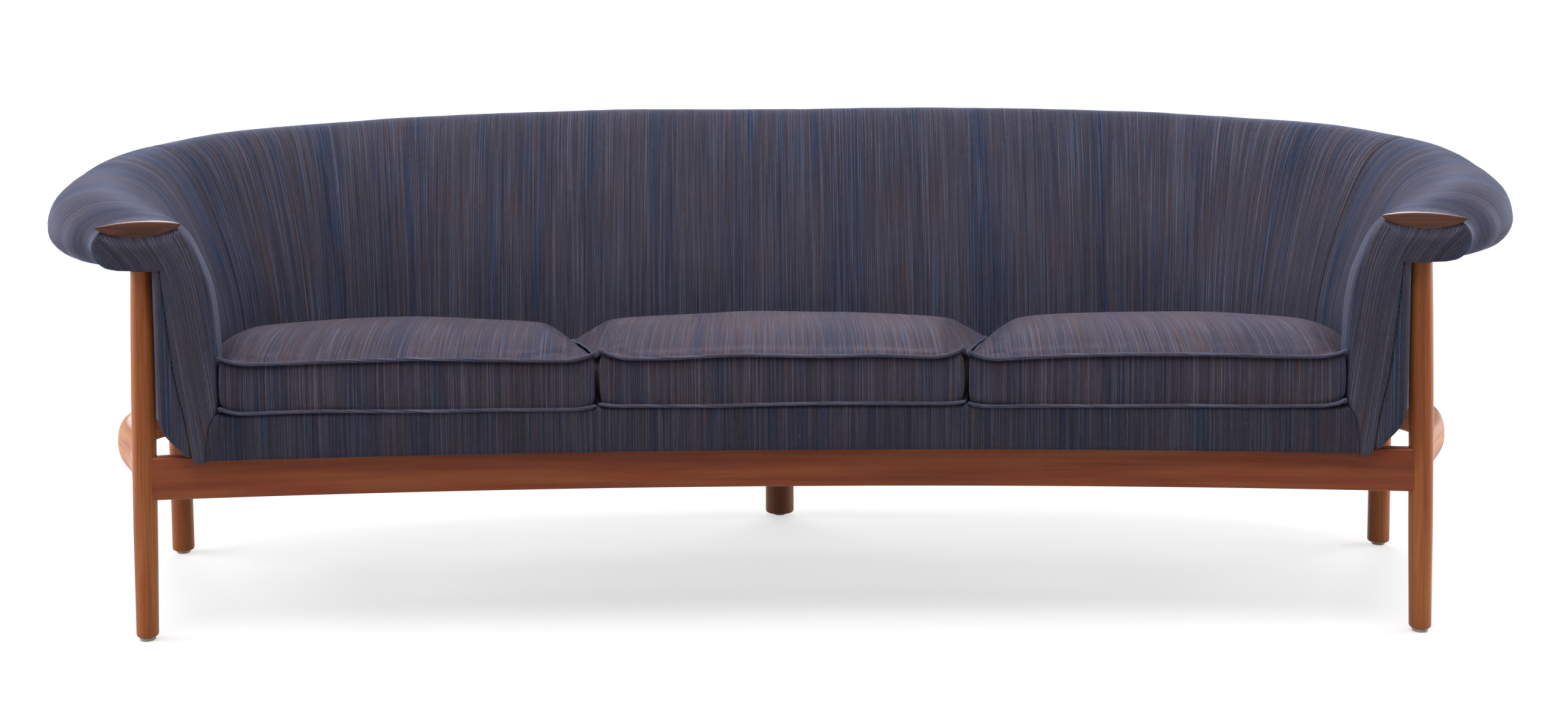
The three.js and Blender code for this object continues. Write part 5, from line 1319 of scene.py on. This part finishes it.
def makeStraps():
    # Bands of jute webbing under the deck, folded over at their ends and a little slack between.
    for k in range(1, straps["count"] + 1):
        low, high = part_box("seat_strap_%d" % k)
        middle, half = (low[0] + high[0]) / 2, (high[0] - low[0]) / 2 - straps["room"]
        start, end = low[1] - planOffset + straps["room"], high[1] - planOffset - straps["room"]
        across = np.concatenate([np.linspace(-1, 1, straps["across"]), np.linspace(1, -1, straps["across"])])
        edge = np.where(np.abs(across) > 0.9, straps["selvedge"], 0) * (1 - np.abs(across) ** 30)
        under = np.arange(len(across)) < straps["across"]
        rings = []
        for y in np.linspace(start, end, straps["rows"]):
            fromEnd = min(y - start, end - y)
            thick = straps["thick"] * (2 - smoothStep((fromEnd - straps["fold"]) / 0.002)) - straps["skin"]
            top = high[2] - straps["skin"] - straps["sag"] * smoothStep((fromEnd - 0.03) / 0.16)
            height = np.where(under, top - thick - edge, top)
            height += straps["weave"] * math.sin(y / straps["pitch"] * math.pi) * np.cos(across * 20)
            rings.append(np.stack([middle + across * half, np.full(len(across), y), height], axis=1))
        strap = loftBody("webbing.%d" % k, np.array(rings))
        finish(strap, "sofa", jute, ["seat_strap_%d" % k], 50)


def makeDustCover():
    inset = shell["bilgeWidth"] + dustCover["inFromHeel"]
    cover, area = flatPatch("dustCover", lambda share: sizeAlong("wallFoot", share) - inset,
                            front["apronThick"] + dustCover["behind"], dustCover["low"], dustCover["high"],
                            ["dust_cover"], dustCover["dish"])


makeSeat()
deck, _ = flatPatch("seatDeck", lambda share: -shell["coverThick"], front["apronThick"] + front["hair"],
                    front["deckUnder"], front["deckTop"], ["seat_deck"], front["deckDish"])
makeStraps()
makeDustCover()
print("seat made")


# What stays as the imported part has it

keptFinishes = [
    (beech, ["bearer_left", "bearer_centre", "bearer_right", "base_side_bar_left", "base_side_bar_right",
             "base_back_bar", "base_front_bar", "arm_top_rail_left", "arm_top_rail_right", "back_top_rail",
             "arm_post_left", "arm_post_right", "back_post_left", "back_post_right", "back_post_centre",
             "rail_dowel_left", "rail_dowel_right", "ring_dowel_left", "ring_dowel_right"]),
    (steel, ["rear_leg_bolt_left", "rear_leg_bolt_right", "centre_leg_bolt"]),
]
for material, names in keptFinishes:
    for name in names:
        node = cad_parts[name]
        node.data.materials.clear()
        node.data.materials.append(material)


# Studio

studio = {
    "floor": "#adadad", "floorGlow": 0.58, "floorSize": 30, "floorThick": 0.02, "fade": (1.9, 5.0),
    "worldLight": 0.12,
    # Soft boxes: name, place, what they face, width, height and power.
    "boxes": [("left", (-3.9, 0.1, 1.5), (-1.0, 0, 0.6), 2.4, 1.4, 88.2),
              ("right", (3.9, 0.6, 1.1), (1.0, 0, 0.6), 2.4, 1.4, 83.3),
              ("back", (0, 4.8, 1.8), (0, 0.2, 0.5), 6.5, 3.0, 240)],
    "topStrength": 2.6, "topAngle": 50, "topTilt": (12, -2),
}
view = {"lens": 39.83, "shift": (0.0109, -0.077), "place": (-0.0218, -2.63, 0.815), "pitch": -4.094, "roll": -0.41}


def addObject(name, data):
    obj = bpy.data.objects.new(name, data)
    bpy.context.collection.objects.link(obj)
    return obj


def backgroundRays(tree):
    # 1 for the rays that see the background: from the camera, or by way of a gloss or glass.
    seen = 0
    for kind in ("Is Camera Ray", "Is Glossy Ray", "Is Transmission Ray"):
        rays = addNode(tree, "LightPath", {}, kind)
        seen = addNode(tree, "Math", {"operation": "MAXIMUM", 0: rays, 1: seen})
    return seen


def makeFloor():
    # Near the object the floor is lit and keeps its shadow. Further away it turns into the white background.
    size = studio["floorSize"]
    corners = [(-size, -size), (size, -size), (size, size), (-size, size)]
    floor = newMesh("floor", [(x, y, z) for z in (-studio["floorThick"], 0) for x, y in corners],
                    [(0, 3, 2, 1), (4, 5, 6, 7), (0, 1, 5, 4), (1, 2, 6, 5), (2, 3, 7, 6), (3, 0, 4, 7)])
    material, tree = newMaterial("floor, matt white")
    paint = addNode(tree, "BsdfPrincipled", {"Base Color": linear(studio["floor"]), "Roughness": 0.9})
    seen = backgroundRays(tree)
    glow = addNode(tree, "Mix", {0: seen, 2: 0, 3: studio["floorGlow"]})
    lit = addNode(tree, "AddShader", {0: paint, 1: addNode(tree, "Emission", {"Strength": glow})})
    away = addNode(tree, "VectorMath", {"operation": "LENGTH", 0: addNode(tree, "TexCoord", {}, "Object")}, "Value")
    near, gone = studio["fade"]
    far = addNode(tree, "MapRange", {"interpolation_type": "SMOOTHSTEP", 0: away, 1: near, 2: gone})
    factor = addNode(tree, "Math", {"operation": "MULTIPLY", 0: far, 1: seen})
    white = addNode(tree, "Emission", {"Strength": 1})
    addNode(tree, "OutputMaterial", {"Surface": addNode(tree, "MixShader", {0: factor, 1: lit, 2: white})})
    floor.data.materials.append(material)


def makeLights():
    world = bpy.context.scene.world = bpy.data.worlds.new("studio")
    world.use_nodes = True
    tree = world.node_tree
    tree.nodes.clear()
    strength = addNode(tree, "Mix", {0: backgroundRays(tree), 2: studio["worldLight"], 3: 1})
    background = addNode(tree, "Background", {"Color": (1, 1, 1, 1), "Strength": strength})
    addNode(tree, "OutputWorld", {"Surface": background})
    for name, place, target, width, height, power in studio["boxes"]:
        light = bpy.data.lights.new(name, "AREA")
        light.shape = "RECTANGLE"
        light.size, light.size_y, light.energy = width, height, power
        lamp = addObject(name, light)
        lamp.location = place
        lamp.rotation_euler = (Vector(target) - Vector(place)).to_track_quat("-Z", "Y").to_euler()
    sky = bpy.data.lights.new("overhead", "SUN")
    sky.energy, sky.angle = studio["topStrength"], math.radians(studio["topAngle"])
    addObject("overhead", sky).rotation_euler = [math.radians(a) for a in studio["topTilt"]] + [0]


def makeCamera():
    # Seen from the front at seat height, with the frame shifted down from the level of the lens.
    camera = bpy.data.cameras.new("camera")
    camera.sensor_fit = "HORIZONTAL"
    camera.sensor_width = 36
    camera.lens, camera.clip_end = view["lens"], 60
    camera.shift_x, camera.shift_y = view["shift"]
    holder = addObject("camera", camera)
    pitch, roll = math.radians(90 + view["pitch"]), math.radians(view["roll"])
    x, y, z = view["place"]
    holder.matrix_world = (Matrix.Translation((x, y + planOffset, z)) @ Matrix.Rotation(pitch, 4, "X")
                           @ Matrix.Rotation(roll, 4, "Z"))
    bpy.context.scene.camera = holder


makeFloor()
makeLights()
makeCamera()
bpy.context.scene.view_settings.view_transform = "Standard"
print("studio made")
